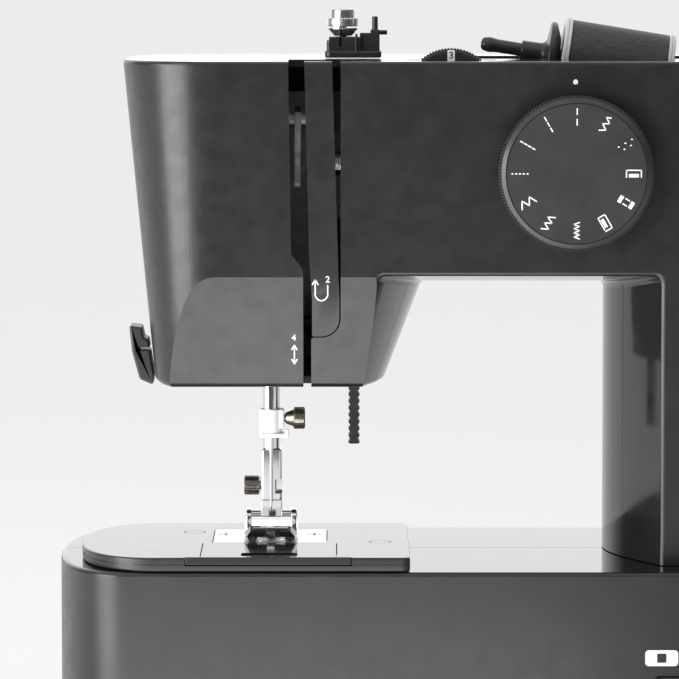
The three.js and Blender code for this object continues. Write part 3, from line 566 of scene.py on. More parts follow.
def upper_solid(name, wall):
    """Head, arm and column as one solid, with its rings closer together near the faces."""
    depth = DEPTH - wall
    steps = 48 if wall else 110
    turns = [math.pi * k / steps - math.pi / 2 for k in range(steps + 1)]
    depths = [depth * math.copysign(abs(math.sin(t)) ** 0.8, t) for t in turns]
    return loft(name, [upper_ring(y, wall) for y in depths])


def facet_y(z):
    """Where the head's lower facet lies at a height."""
    return FRONT + FACET_SLOPE * (FACET_TOP - z)


def facet_tool():
    low = HEAD_BOTTOM - 0.02
    return prism("facet", rounded([
        (FRONT - 20, FACET_TOP), (FRONT, FACET_TOP), (facet_y(low), low, 2.4),
        (60, low), (60, low - 20), (FRONT - 20, low - 20),
    ]), -140, -21, "x")


SLOT = [(-68.5, 260), (-67.3, 183), (-63.3, 178, 3), (-63.3, 130), (-60.6, 130), (-60.6, 154.4, 1),
        (-50.6, 154.4, 6.5), (-50.6, 260)]
CHANNEL = [(-62.9, 248), (-61.3, 183), (-60.3, 168), (-60.3, 154.8, 0.6), (-51.1, 154.8, 6.1), (-51.1, 168),
           (-53.5, 248)]
TROUGH = {"left": -14, "right": 72, "front": -12, "back": 22, "floor": 226.5}


def trough_tool(name, wall):
    left, right, floor = TROUGH["left"] - wall, TROUGH["right"] + wall, TROUGH["floor"] - wall
    profile = rounded([
        (left, 260), (left, 240.5 - wall, 1), (12 - wall, 237.5 - wall), (24 - wall, floor, 4),
        (right, floor, 3), (right, 260),
    ])
    return prism(name, profile, TROUGH["front"] - wall, TROUGH["back"] + wall, "y")


def half(y0, y1, x0=-200, x1=200):
    return block("half", x0, x1, y0, y1, -20, 300)


def is_polished(centre, normal):
    """The top, the arch and the two walls of the throat are polished. The rest is grained."""
    in_throat = NARROW_X < centre.x < COLUMN_LEFT + 1 and centre.z < ARM_BOTTOM + 2
    return normal.z > 0.75 or (in_throat and abs(normal.y) < 0.9 and abs(centre.y) < DEPTH - 0.5)


def upper_covers():
    outer = cut(upper_solid("outer", 0), facet_tool())
    shell = cut(copy(outer, "shell"), upper_solid("inner", WALL))
    shell = fuse(shell, keep(copy(outer, "lining"), move(facet_tool(), (0, WALL + 0.4, 0)), half(-60, -22)))

    front = keep(copy(shell, "front"), half(-90, SEAM_Y - GAP / 2))
    cut(front, prism("slot", rounded(SLOT), -60, SEAM_Y + 1, "y"))
    face = keep(copy(front, "skin"), half(-90, 0, -200, -62))
    arm = keep(front, half(-90, 0, -62, 200))
    tension = span("tension_dial")
    button_x, _, button_z = axis_of("reverse_button")
    cut(
        arm,
        bore(11.4, -50, -30, (button_x, 0, button_z), "y"),
        block("slit", tension[0] + 0.2, tension[1] - 0.2, tension[2] - 0.6, tension[3] + 0.6, 240, 260,
              corner=1.5),
    )
    strip = keep(prism("skin", rounded(CHANNEL), -60, -36, "y"), copy(outer, "limit"))

    lens = span("lamp_lens")
    lifter = span("presser_lifter_lever")
    winder_x, winder_y, _ = axis_of("bobbin_winder_carrier")
    back = fuse(shell, keep(trough_tool("tray", WALL), copy(outer, "limit")))
    keep(back, half(SEAM_Y + GAP / 2, 90))
    cut(
        back,
        trough_tool("recess", 0),
        bore(4.5, 130, 145, (NEEDLE_X, NEEDLE_Y, 0)),
        bore(4.5, 130, 145, (NEEDLE_X, PRESSER_Y, 0)),
        block("window", lens[0] + 1.2, lens[1] - 1.2, lens[2] + 1.2, lens[3] - 1.2, 130, 145),
        block("slot", lifter[1] - 4.95, lifter[1] + 1.05, 15, 60, 130, 153),
        block("track", winder_x - 4, winder_x + 8, winder_y - 4, winder_y + 4, 240, 260),
    )
    bpy.data.objects.remove(outer)
    for piece, node in ((face, "face_cover"), (arm, "arm_front_cover"), (back, "arm_rear_cover")):
        show(piece, node, angle=13)
        paint(piece, GLOSS, is_polished)
    show(strip, "channel_cover")


# ---------------------------------------------------------------- base and bed

BASE_LEFT, BASE_RIGHT, BASE_FRONT, BASE_SEAM_Y, BASE_BOTTOM, BASE_TOP = span("base_front_shell")
BASE_SEAM_Y += GAP / 2
BED_WELL = (-104, -46, -55, 20)           # the opening under the bed plate, as x0, x1, y0, y1
COLUMN_WELL = (63, 131, -38, 40.5)        # the opening under the column


def plan(left, right, front, back, end, corner):
    """A plan outline with a rounded left end and two rounded right corners."""
    curve = rounded_end(left + end, end, (front + back) / 2, (back - front) / 2, 2.3)
    square = [(left + end, back), (left + end, front), (right, front, corner), (right, back, corner)]
    return curve + rounded(square, 10)[2:]


def faces_up(centre, normal):
    return normal.z > 0.75


def base_shells():
    outline = plan(BASE_LEFT, BASE_RIGHT, BASE_FRONT, -BASE_FRONT, 26, 12)
    shell = prism("skin", outline, BASE_BOTTOM, BASE_TOP, "z", 1.5)
    knob = span("speed_switch_knob")
    inlet = span("power_inlet")
    jack_x, _, jack_z = axis_of("pedal_jack")
    cut(
        shell,
        prism("inner", inset(outline, WALL), BASE_BOTTOM - 2, BASE_TOP - WALL),
        block("bed_well", *BED_WELL, 70, 80),
        block("column_well", *COLUMN_WELL, 70, 80),
        tablet("slot", knob[0] + 1, knob[0] + 29, -70, -50, knob[4] + 1, knob[5] - 1, 1),
        tablet("socket", inlet[0] + 0.7, inlet[1] - 0.7, 50, 70, inlet[4] + 0.7, inlet[5] - 0.7, 1),
        bore(6 + GAP, 50, 70, (jack_x, 0, jack_z), "y"),
    )
    front = keep(copy(shell, "skin"), half(-90, BASE_SEAM_Y - GAP / 2))
    keep(shell, half(BASE_SEAM_Y + GAP / 2, 90))
    for piece, node in ((front, "base_front_shell"), (shell, "base_rear_shell")):
        show(piece, node)
        paint(piece, GLOSS, faces_up)


def ring_groove(x, y, top, radius):
    """A tool for a fine round seam in a flat top."""
    centre = (x, y, 0)
    return cut(bore(radius, top - 0.3, top + 1, centre), bore(radius - 0.35, top - 1, top + 2, centre))


def bed_plate():
    left, right, front, back, bottom, top = span("bed_plate")
    plate = span("needle_plate")
    lid = span("bobbin_cover")
    outline = plan(left, right, front, back, 26.6, 3)
    middle = (bottom + top) / 2
    bed = prism("skin", outline, bottom, top, "z", 0.7)
    seam = cut(prism("seam", inset(outline, -1), middle - 0.12, middle + 0.12),
               prism("inside", inset(outline, 0.4), bottom, top))
    cut(
        bed, seam,
        block("well", plate[0] + 2, plate[1] - 2, plate[2] + 2, plate[3] - 2, 70, 90),
        block("seat", plate[0] - GAP, plate[1] + GAP, plate[2] - GAP, plate[3] + GAP, 80.2, 90, 0, 1.5),
        block("well", lid[0] + 5 - GAP, lid[1] - 5 + GAP, -70, plate[2], 80, 90),
        block("well", plate[0], plate[1], -52, -24.5, 70, 90),
        block("well", lid[0] - GAP, lid[1] + GAP, -70, -58.2, 79.2, 90),
        ring_groove(right - 9.8, -18.3, top, 3.8),
        ring_groove(left + 38, 7.6, top, 3.8),
    )
    show(bed, "bed_plate")
    paint(bed, GLOSS, faces_up)


FEED_SPACING = 6.5


def needle_plate():
    x0, x1, y0, y1, z0, z1 = span("needle_plate")
    plate = block("skin", x0, x1, y0, y1, z0, z1, 0.25, 1.2)
    slot = rectangle(NEEDLE_X - 4, NEEDLE_X + 4, NEEDLE_Y - 1.1, NEEDLE_Y + 1.1, 1)
    cut(plate, prism("slot", slot, 70, 90))
    for side, front in ((-1, -14.3), (0, -8.8), (1, -14.3)):
        x = NEEDLE_X + side * FEED_SPACING
        cut(plate, block("slot", x - 1.6, x + 1.6, front, 11.3, 70, 90, 0, 1))
    for name in ("needle_plate_screw_left", "needle_plate_screw_right"):
        x, y, _ = axis_of(name)
        cut(plate, bore(2.4, 70, 90, (x, y, 0)))
        screw = rod("skin", 2.1, z0 + 0.2, z1, (x, y, 0), edge=0.25, segments=40)
        show(cut(screw, block("slit", x - 0.35, x + 0.35, y - 3, y + 3, z1 - 0.6, z1 + 1)), name)
    for offset in (10, 15):
        x = NEEDLE_X + offset
        cut(plate, block("line", x - 0.15, x + 0.15, y0 + 1.5, y0 + 9, z1 - 0.12, z1 + 1))
    show(plate, "needle_plate")


def bobbin_cover():
    x0, x1, y0, y1, z0, z1 = span("bobbin_cover")
    lid = block("skin", x0 + 5, x1 - 5, y0 + 0.8, y1, z1 - 1.8, z1, 0.3, 1)
    fuse(lid, block("lip", x0, x1, y0, y0 + 1.4, z0, z1, 0.3))
    cut(lid, block("grip", NEEDLE_X - 9.5, NEEDLE_X + 9.5, y0 + 2.8, y0 + 11.5, z1 - 0.9, z1 + 2, 0, 1.5))
    for k in range(5):
        y = y0 + 4 + k * 1.55
        rib = prism("rib", rounded([(y, z1 - 1.1), (y + 0.4, z1 - 0.3, 0.3), (y + 0.8, z1 - 1.1)], 3),
                    NEEDLE_X - 8.5, NEEDLE_X + 8.5, "x")
        fuse(lid, rib)
    show(lid, "bobbin_cover")


# ---------------------------------------------------------------- needle and presser foot

def needle_parts():
    place = (NEEDLE_X, NEEDLE_Y, 0)
    bar = rod("skin", 2.8, 118, 240, place, edge=0.4)
    fuse(bar, block("driver", NEEDLE_X - 4.2, NEEDLE_X + 3.1, NEEDLE_Y - 5, NEEDLE_Y + 5, 188, 196, 0.5))
    show(cut(bar, bore(1.3, 117, 125, place)), "needle_bar")

    clamp = rod("skin", 4.05, 117.5, 127.3, place, edge=0.5)
    fuse(
        clamp,
        block("flange", NEEDLE_X - 3.6, NEEDLE_X + 6.2, NEEDLE_Y - 4.6, NEEDLE_Y + 1, 117.5, 119, 0.4),
        block("hook", NEEDLE_X + 5, NEEDLE_X + 6.2, NEEDLE_Y - 4.6, NEEDLE_Y - 1, 117.6, 120.4, 0.3),
        block("boss", NEEDLE_X + 2, NEEDLE_X + 4.6, NEEDLE_Y - 3, NEEDLE_Y + 3, 120.5, 127.3, 0.6),
    )
    x0, x1 = span("needle_clamp_screw")[:2]
    axis = (0, NEEDLE_Y, axis_of("needle_clamp_screw")[2])
    cut(clamp, bore(3.1, 110, 130, place), bore(1.7, NEEDLE_X + 2, -60, axis, "x"))
    show(clamp, "needle_clamp")

    stem = [(0, x0), (1.3, x0), (1.3, x0 + 1.6), (1.9, x0 + 1.8), (2.9, x1 - 4.1), (2.9, x1 - 3.8),
            (0, x1 - 3.8)]
    head = ridged("skin", 3.8, 0.3, 30, x1 - 4, x1, axis, "x", 0.4)
    cut(head, block("slit", x1 - 0.8, x1 + 1, NEEDLE_Y - 0.4, NEEDLE_Y + 0.4, 115, 130))
    show(fuse(head, lathe("stem", stem, axis, "x", 32)), "needle_clamp_screw")

    needle = [(0, 91), (0.12, 91.4), (0.45, 93.5), (0.45, 112), (1, 113.5), (1, 124), (0, 124)]
    show(lathe("skin", needle, place, segments=24), "needle")


def presser_parts():
    place = (NEEDLE_X, PRESSER_Y, 0)
    bar = rod("skin", 3, 104, 236, place, edge=0.4)
    fuse(bar, block("bracket", -79.5, -71.5, PRESSER_Y - 5, 24, 164, 171, 0.5),
         block("bracket", -72, -66, 14, 24, 164, 171, 0.5))
    show(bar, "presser_bar")

    x0, x1 = span("foot_holder_screw")[:2]
    axis = (0, PRESSER_Y, axis_of("foot_holder_screw")[2])
    holder = block("skin", -78.4, -71, PRESSER_Y - 4.5, PRESSER_Y + 4.5, 94, 112, 0.6, 1.2)
    fuse(holder, block("shoe", -78.4, -71, PRESSER_Y - 2.6, PRESSER_Y + 5.5, 88, 95, 0.5))
    cut(
        holder,
        bore(3.3, 103.6, 120, place),
        bore(1.9, -90, -77, axis, "x"),
        bore(1.6, -90, -60, (0, PRESSER_Y, FOOT_PIN_Z), "x"),
        block("mouth", -90, -60, PRESSER_Y - 1.2, PRESSER_Y + 1.2, 80, FOOT_PIN_Z),
        block("relief", -73.4, -60, PRESSER_Y - 6, PRESSER_Y + 1.5, 96.5, 101.5, 0, 0.8),
    )
    show(holder, "foot_holder")

    screw = ridged("skin", 3.35, 0.35, 22, x0, x0 + 5.3, axis, "x", 0.35)
    cut(screw, block("slit", x0 - 1, x0 + 0.8, PRESSER_Y - 0.4, PRESSER_Y + 0.4, 90, 110))
    show(fuse(screw, rod("stem", 1.5, x0 + 5, x1, axis, "x", 0.2)), "foot_holder_screw")

    side = [(9.8, 91, 0.8), (16, 91.6, 0.8), (16, 93.4, 0.8), (9.8, 93.4, 0.8)]
    show(prism("skin", rounded(side, 4), -76.2, -73.2, "x", 0.3), "foot_release_lever")


def presser_foot():
    x0, x1, front, back, sole_z, _ = span("presser_foot")
    side = rounded([
        (back, sole_z + 1.2), (2, sole_z, 3), (-18, sole_z, 4), (-24, sole_z + 3.2, 1),
        (front, sole_z + 4.2, 0.3), (-23.6, sole_z + 4.8, 0.3), (-17, sole_z + 1.9, 4),
        (back, sole_z + 2.6, 0.5),
    ], 5)
    sole = prism("skin", side, x0, x1, "x", 0.2, 2)
    keep(sole, prism("plan", rounded([
        (x0 - 1, back + 1), (x0 - 1, -8), (x0 + 0.3, -17, 4), (x0 + 3, front - 0.5, 3),
        (x1 - 3, front - 0.5, 3), (x1 - 0.3, -17, 4), (x1 + 1, -8), (x1 + 1, back + 1),
    ]), 80, 95))
    for left in (x0 + 0.6, x1 - 2.4):
        ear = rounded([(-1, 84.6), (7.5, 84.6), (7.5, 91, 3), (-1, 91, 3)], 5)
        fuse(sole, prism("ear", ear, left, left + 1.8, "x", 0.25))
    cut(
        sole,
        block("window", NEEDLE_X - 4.2, NEEDLE_X + 4.2, NEEDLE_Y - 1.6, NEEDLE_Y + 1.6, 80, 90, 0, 1.4),
        block("gap", NEEDLE_X - 1.3, NEEDLE_X + 1.3, -30, NEEDLE_Y, 80, 92),
    )
    fuse(sole, rod("pin", 1.2, x0 + 0.4, x1 - 0.4, (0, PRESSER_Y, FOOT_PIN_Z), "x", 0.2, 24))
    show(sole, "presser_foot")


def presser_lifter():
    """A flat lever with a ribbed grip, on a shaft that is 3 mm in radius."""
    x0, x1, y0, _, z0, z1 = span("presser_lifter_lever")
    x = x1 - 1.95
    y = y0 + 3
    z = z1 - 3
    right = [(1.2, z0)]
    for k in range(8):
        low = z0 + 1.2 + k * 2.4
        right += [(1.95, low - 0.9), (1.95, low - 0.1), (1.45, low + 0.2), (1.45, low + 0.8)]
    right += [(1.95, low + 1.3), (1.95, z)]
    outline = [(x + reach, height) for reach, height in right]
    outline += [(x - reach, height) for reach, height in reversed(right)]
    lever = prism("skin", outline, y - 3, y + 3, "y", 0.2, 2)
    fuse(lever, rod("shaft", 3, x0, x1, (0, y, z), "x", 0.4),
         block("finger", x0, x0 + 6, y, y + 13, z - 2, z + 2, 0.6))
    show(lever, "presser_lifter_lever")


def thread_cutter():
    outline = rounded([
        (-123.7, 155.7, 0.7), (-122.8, 147, 6), (-120.2, 137.2, 2), (-115.4, 135.1, 0.8), (-115.2, 138, 1),
        (-117.1, 151, 1), (-118.6, 151.6, 1), (-119.4, 155.2, 0.8),
    ])
    cutter = prism("skin", outline, -7, 7, "y", 0.8)
    show(cut(cutter, block("slit", -121.5, -116, -10, 10, 147, 148.2)), "thread_cutter")
    blade = prism("thread_cutter_blade", [(-121.4, 147.4), (-116.4, 147.1), (-116.4, 147.5)], -5, 5, "y")
    show(blade, "thread_cutter", material=MATERIALS["steel"], stands_in=False)


# ---------------------------------------------------------------- printed marks

PRINT_HEIGHTS = (-0.05, 0.06)     # a printed line's body, from just below a surface to just above it


def strokes(name, lines, width, put):
    """Printed lines, each a path of (u, v) points. put(u, v, height) gives a place in millimetres."""
    pieces = []
    for line in lines:
        for start, end in zip(line, line[1:]):
            a, b = Vector(start), Vector(end)
            along = (b - a).normalized() * width * 0.5
            across = Vector((-along.y, along.x))
            tip = along * 0.4
            corners = [a - tip - across, b + tip - across, b + tip + across, a - tip + across]
            pieces.append(loft("stroke", [[put(*corner, h) for corner in corners] for h in PRINT_HEIGHTS]))
    return gather(name, *pieces)


def on_front(y):
    """Puts printed lines on an upright face at y."""
    return lambda u, v, height: (u, y - height, v)


def zigzag(count, low, high, reach):
    """A stitch that swings from side to side on its way out from low to high."""
    steps = [low + (high - low) * k / count for k in range(count + 1)]
    return [(r, reach if k % 2 else -reach) for k, r in enumerate(steps)]


def dashes(count, low, high, share):
    pitch = (high - low) / (count - 1 + share)
    return [[(low + pitch * k, 0), (low + pitch * (k + share), 0)] for k in range(count)]


IN, OUT = 16.3, 21.9     # the stitch pictures lie between these radii


def bar(low, high, middle, width):
    """A filled bar, drawn as close lines."""
    return [[(low, middle + width * k), (high, middle + width * k)] for k in (-0.36, 0, 0.36)]


def stitch_pictures():
    """Twelve pictures, clockwise from the top, as lines in (radius, way round)."""
    bracket = [(IN + 0.3, 1.2), (IN + 0.3, -1.2), (OUT - 0.3, -1.2), (OUT - 0.3, 1.2)]
    swing = zigzag(4, IN, OUT - 0.6, 1.0)
    dots = zigzag(4, IN + 0.3, OUT - 0.2, 0.8)
    ends = [[(r + 0.45 * k, -1.2), (r + 0.45 * k, 1.2)] for r in (IN + 0.2, OUT - 1.2) for k in range(3)]
    sides = [[(IN + 2, side), (OUT - 2, side)] for side in (-1.0, 1.0)]
    corner = [(OUT - 0.9, 1.3), (IN + 0.2, 1.3), (IN + 0.2, -1.3), (OUT - 0.3, -1.3), (OUT - 0.3, 1.3)]
    return [
        dashes(2, IN, OUT, 0.58),
        [swing, [swing[-1], (OUT, 0.6)]],
        [[(r - 0.2, t - 0.1), (r + 0.2, t + 0.1)] for r, t in dots],
        [bracket] + bar(IN + 1.2, OUT - 1.2, 0.6, 1.1),
        ends + sides,
        [corner] + bar(IN + 1.2, OUT - 1.4, 0.3, 1.0),
        [zigzag(8, IN, OUT, 1.0)],
        [zigzag(5, IN, OUT, 1.2)],
        [zigzag(4, IN, OUT, 1.3)],
        dashes(5, IN, OUT, 0.4),
        dashes(4, IN, OUT, 0.7),
        dashes(3, IN, OUT, 0.7),
    ]


def lettering(name, text, size, depth=0.06):
    """A short number as a thin body in XZ, facing -Y, with its middle at the origin."""
    curve = bpy.data.curves.new(name, "FONT")
    curve.body = text
    curve.size = size * MM
    curve.extrude = depth * MM
    curve.offset = size * 0.012 * MM
    curve.align_x = "CENTER"
    curve.align_y = "CENTER"
    obj = bpy.data.objects.new(name, curve)
    scene.collection.objects.link(obj)
    obj = baked(obj)
    obj.data.transform(Matrix.Rotation(math.pi / 2, 4, "X"))
    return obj


def print_on(obj, node, material=None):
    show(obj, node, material=material or PRINT, stands_in=False, angle=20)


# ---------------------------------------------------------------- controls

def stitch_dial():
    x, _, z = axis_of("stitch_dial")
    _, x1, face, back, _, _ = span("stitch_dial")
    radius = x1 - x
    knurl = ridged("skin", radius, 0.5, 150, face + 1.1, FRONT - GAP, (x, 0, z), "y", 0.3)
    profile = rounded([
        (0, FRONT - GAP), (radius - 0.9, FRONT - GAP), (radius - 0.9, face + 0.9, 0.2),
        (radius - 2.3, face, 0.3), (radius - 2.4, face), (radius - 2.45, face + 0.35),
        (radius - 2.7, face + 0.35), (radius - 2.75, face + 0.05), (0, face + 0.05),
    ], 6)
    fuse(knurl, lathe("face", profile, (x, 0, z), "y", 128),
         rod("hub", 5, FRONT - 1, back, (x, 0, z), "y", 0.2))
    show(knurl, "stitch_dial")
    paint(knurl, DIAL_FACE, lambda centre, normal: normal.y < -0.9 and centre.y < face + 0.2)

    pictures = []
    for k, lines in enumerate(stitch_pictures()):
        away = math.radians(30 * k)

        def put(r, t, height, away=away):
            u = x + r * math.sin(away) + t * math.cos(away)
            return u, face + 0.05 - height, z + r * math.cos(away) - t * math.sin(away)

        pictures.append(strokes("picture", lines, 0.42, put))
    print_on(gather("stitch_pictures", *pictures), "stitch_dial")
    dot = rod("dial_dot", 0.85, FRONT - 0.06, FRONT + 0.1, (x - 0.2, 0, z + radius + 4.3), "y", 0.02, 32)
    print_on(dot, "arm_front_cover")


def tension_dial():
    x, _, z = axis_of("tension_dial")
    _, x1, front, back, _, _ = span("tension_dial")
    radius = x1 - x
    dial = ridged("skin", radius, 0.35, 90, front + 0.5, back - 0.5, (x, 0, z), "y", 0.3)
    side = rounded([
        (0, front), (radius - 1, front, 0.3), (radius - 0.6, front + 0.8), (radius - 0.6, back - 0.8),
        (radius - 1, back, 0.3), (0, back),
    ], 4)
    fuse(dial, lathe("side", side, (x, 0, z), "y", 96))
    show(cut(dial, bore(2.8, -60, 0, (x, 0, z), "y")), "tension_dial")
    numbers = []
    for k in range(1, 7):
        number = move(lettering("number", str(3 + k), 3.4), (0, front - 0.02, radius - 3.2))
        numbers.append(move(turn(number, -36 * k, "Y", (0, 0, 0)), (x, 0, z)))
    plaque = tablet("plaque", x - 1.25, x + 1.25, front - 0.05, front + 0.1, z + 11.2, z + 15.1, 0.4)
    print_on(gather("tension_numbers", *numbers, plaque), "tension_dial")
    three = move(lettering("tension_three", "3", 3.2, 0.05), (x, front - 0.06, z + 13.15))
    print_on(three, "tension_dial", SATIN)


def thread_guide():
    _, x1, y0, y1, z0, z1 = span("thread_guide_bracket")
    x, y, _ = axis_of("pretension_knob")
    bracket = block("skin", -56, -36.6, y0, y1, z0, z0 + 2.3, 0.5, 2)
    fuse(
        bracket,
        block("post", -55.4, -43.4, y - 5.2, y + 5.2, 249, 255.4, 0.4, 1),
        block("web", -44, -38, y - 4, y - 1.8, 249, 256.8, 0.3),
        block("fin", -45.6, -44.8, y - 5.6, y + 2, 249, 256.4, 0.2),
        block("fin", -40.4, -37.2, y - 4, y + 4, 249, 257.9, 0.4),
        rod("pin", 1, 256, z1, (-38.8, y, 0), edge=0.3, segments=24),
        rod("pin", 0.8, -40, x1, (0, y, 256.9), "x", 0.25, 24),
        rod("stem", 1.2, 254, 261.4, (x, y, 0), edge=0.2, segments=24),
    )
    cut(bracket, block("notch", -51.2, -50.2, y - 10, y - 3, 252, 260),
        block("notch", -57, -54.6, y - 8, y + 8, 254.2, 260))
    show(bracket, "thread_guide_bracket")
    cup = rounded([(1.6, 255.7), (3, 255.7, 0.4), (5.2, 258, 0.6), (5.2, 258.6, 0.2), (1.6, 258.6)], 5)
    show(lathe("skin", cup, (x, y, 0)), "pretension_disc")
    knob = ridged("skin", 5.15, 0.18, 48, 258.9, 261.9, (x, y, 0), "z", 0.3)
    top = rounded([
        (0, 259.2), (4, 259.2), (4, 264.9, 0.5), (3.2, 265, 0.1), (2.9, 264.6, 0.1), (0, 264.6),
    ], 4)
    fuse(knob, lathe("cap", top, (x, y, 0)))
    show(cut(knob, bore(1.5, 255, 262, (x, y, 0))), "pretension_knob")


SPOOL_TIP = (-2, 5, 252.9)
SPOOL_TILT = 9.2       # degrees, with the tip up
PIN_RADIUS = 2.3


def along_pin(name, profile, segments=64):
    """A closed profile of (radius, distance from the tip), spun about the leaning spool pin."""
    made = turn(lathe(name, profile, (0, 0, 0), "x", segments), SPOOL_TILT, "Y", (0, 0, 0))
    return move(made, SPOOL_TIP)


def spool_parts():
    r = PIN_RADIUS
    length = 74.55
    pin = rounded([
        (0, 0), (r - 0.2, 0, 1.6), (r + 0.35, 3, 1.5), (r, 5.5, 3), (r, length, 0.2), (0, length),
    ], 6)
    show(along_pin("skin", pin, 40), "spool_pin")
    inner = r + GAP
    cap = rounded([
        (inner, 14), (3.3, 14, 0.5), (3.5, 22.2, 2), (11.3, 23.2, 0.6), (11.3, 25, 0.8), (6, 27.2, 2),
        (inner, 27.2),
    ], 6)
    show(along_pin("skin", cap), "spool_cap")
    wound = [(13.02 + 0.08 * (k % 2), 30.3 + k * 0.55) for k in range(61)]
    thread = [(inner, 30), (12.9, 30)] + wound + [(12.9, 64), (inner, 64)]
    show(along_pin("skin", thread, 80), "thread_spool")
    rims = []
    for low, high, radius in ((27.8, 30.1, 13.6), (64, 66.2, 13.4)):
        middle = (low + high) / 2
        rim = rounded([
            (inner, low), (radius, low, 0.3), (radius, middle - 0.2), (radius - 0.3, middle),
            (radius, middle + 0.2), (radius, high, 0.3), (inner, high),
        ], 4)
        rims.append(along_pin("rim", rim, 80))
    show(gather("spool_rims", *rims), "thread_spool", material=RIM, stands_in=False)


def handwheel():
    x0, x1, _, y1, _, _ = span("handwheel")
    _, y, z = axis_of("handwheel")
    radius = y1 - y
    profile = rounded([
        (0, x0), (radius - 4, x0, 1), (radius, x0 + 1.5, 1), (radius, x0 + 8.5, 1.5), (radius - 2, x1, 1.2),
        (radius - 6, x1, 1), (radius - 8, x1 - 2, 1), (0, x1 - 1.6),
    ], 6)
    wheel = lathe("skin", profile, (0, y, z), "x", 96)
    cut(wheel, bore(4.3, x0 - 1, x0 + 7, (0, y, z), "x"))
    for u, v in circle(y, z, 28.4, 12):
        cut(wheel, rod("scallop", 2.6, x0 - 1, x1 + 1, (0, u, v), "x", 0.1, 24))
    show(wheel, "handwheel")


def winder():
    x, y, _ = axis_of("bobbin_winder_carrier")
    carrier = lathe("skin", rounded([
        (0, TOP + GAP), (9, TOP + GAP, 0.3), (9, 250, 0.5), (8, 250.6, 0.3), (5, 250.6), (4.8, 250.3),
        (0, 250.3),
    ], 4), (x, y, 0))
    fuse(carrier, block("stem", x - 3.6, x + 3.6, y - 3.6, y + 3.6, 240, 249, 0, 0.8))
    show(cut(carrier, bore(2.3, 230, 260, (x, y, 0))), "bobbin_winder_carrier")
    spindle = lathe("skin", rounded([
        (0, 238), (2, 238, 0.3), (2, 251), (4.6, 251, 0.3), (4.6, 252, 0.3), (2.8, 252, 0.3),
        (2.8, 261, 0.6), (2, 262, 0.5), (0, 262),
    ], 4), (x, y, 0))
    show(cut(spindle, block("slit", x - 4, x + 4, y - 0.4, y + 0.4, 254, 263)), "bobbin_winder_spindle")


def front_controls():
    x, _, z = axis_of("reverse_button")
    button = lathe("skin", rounded([
        (0, FRONT + 4.4), (13, FRONT + 4.4), (13, FRONT + 2.9), (11, FRONT + 2.9, 0.3),
        (11, FRONT - 2.8, 0.9), (10.2, FRONT - 3.5, 0.5), (0, FRONT - 2.9),
    ], 6), (x, 0, z), "y", 72)
    show(button, "reverse_button")
    loop = [(-3, -3), (-3, 1), (-1.6, 3), (1.6, 3), (3, 1), (3, -3)]
    tip = [(-4.4, -1.4), (-3, -3.2), (-1.6, -1.4)]
    arrow = [[(x + u, z + v) for u, v in line] for line in (loop, tip)]
    print_on(strokes("reverse_arrow", arrow, 0.5, on_front(FRONT - 3.02)), "reverse_button")

    x0, x1, y0, y1, z0, z1 = span("speed_switch_knob")
    knob = tablet("skin", x0 + 1.6, x0 + 11.6, y0, y1, z0 + 1.5, z1 - 1.5, 1.2, 0.5)
    fuse(knob, tablet("flange", x0, x1, -57, y1, z0, z1, 1, 0.2))
    for k in range(5):
        cut(knob, block("rib", x0 + 4 + k * 1.2, x0 + 4.5 + k * 1.2, y0 - 1, y0 + 0.5, z0 + 2.4, z1 - 2.4))
    show(knob, "speed_switch_knob")

    label = tablet("switch_label", 51.9, 63, BASE_FRONT - 0.06, BASE_FRONT + 0.1, 45.3, 50.7, 1.2)
    print_on(label, "base_front_shell")
    square = tablet("switch_stop", 55.9, 59, BASE_FRONT - 0.12, BASE_FRONT, 46.45, 49.55, 0.3)
    print_on(square, "base_front_shell", SATIN)
    bars = [[(68 + k * 4, 46.2), (68 + k * 4, 47.4 + k * 0.9)] for k in range(4)]
    print_on(strokes("switch_steps", bars, 0.9, on_front(BASE_FRONT)), "base_front_shell")


def threading_marks():
    loop = [(-59.2, 174.4), (-59.2, 169), (-58.4, 167.8), (-57.1, 167.3), (-55.8, 167.8), (-55, 169),
            (-55, 172.6)]
    tip = [(-60.2, 172.8), (-59.2, 174.5), (-58.2, 172.8)]
    mark = strokes("threading_turn", [loop, tip], 0.42, on_front(FRONT))
    number = move(lettering("two", "2", 3), (-55, FRONT - 0.02, 174.5))
    print_on(gather("threading_mark_two", mark, number), "channel_cover")

    def on_facet(u, v, height):
        return u, facet_y(v) - height, v

    arrow = [[(-66.3, 151.6), (-66.3, 145.4)], [(-67.2, 150.2), (-66.3, 151.8), (-65.4, 150.2)],
             [(-67.2, 146.8), (-66.3, 145.2), (-65.4, 146.8)]]
    mark = strokes("threading_arrow", arrow, 0.4, on_facet)
    number = turn(lettering("four", "4", 3), math.degrees(math.atan(FACET_SLOPE)), "X", (0, 0, 0))
    move(number, (-66.5, facet_y(154.3) - 0.03, 154.3))
    print_on(gather("threading_mark_four", mark, number), "face_cover")


# ---------------------------------------------------------------- rear sockets and feet

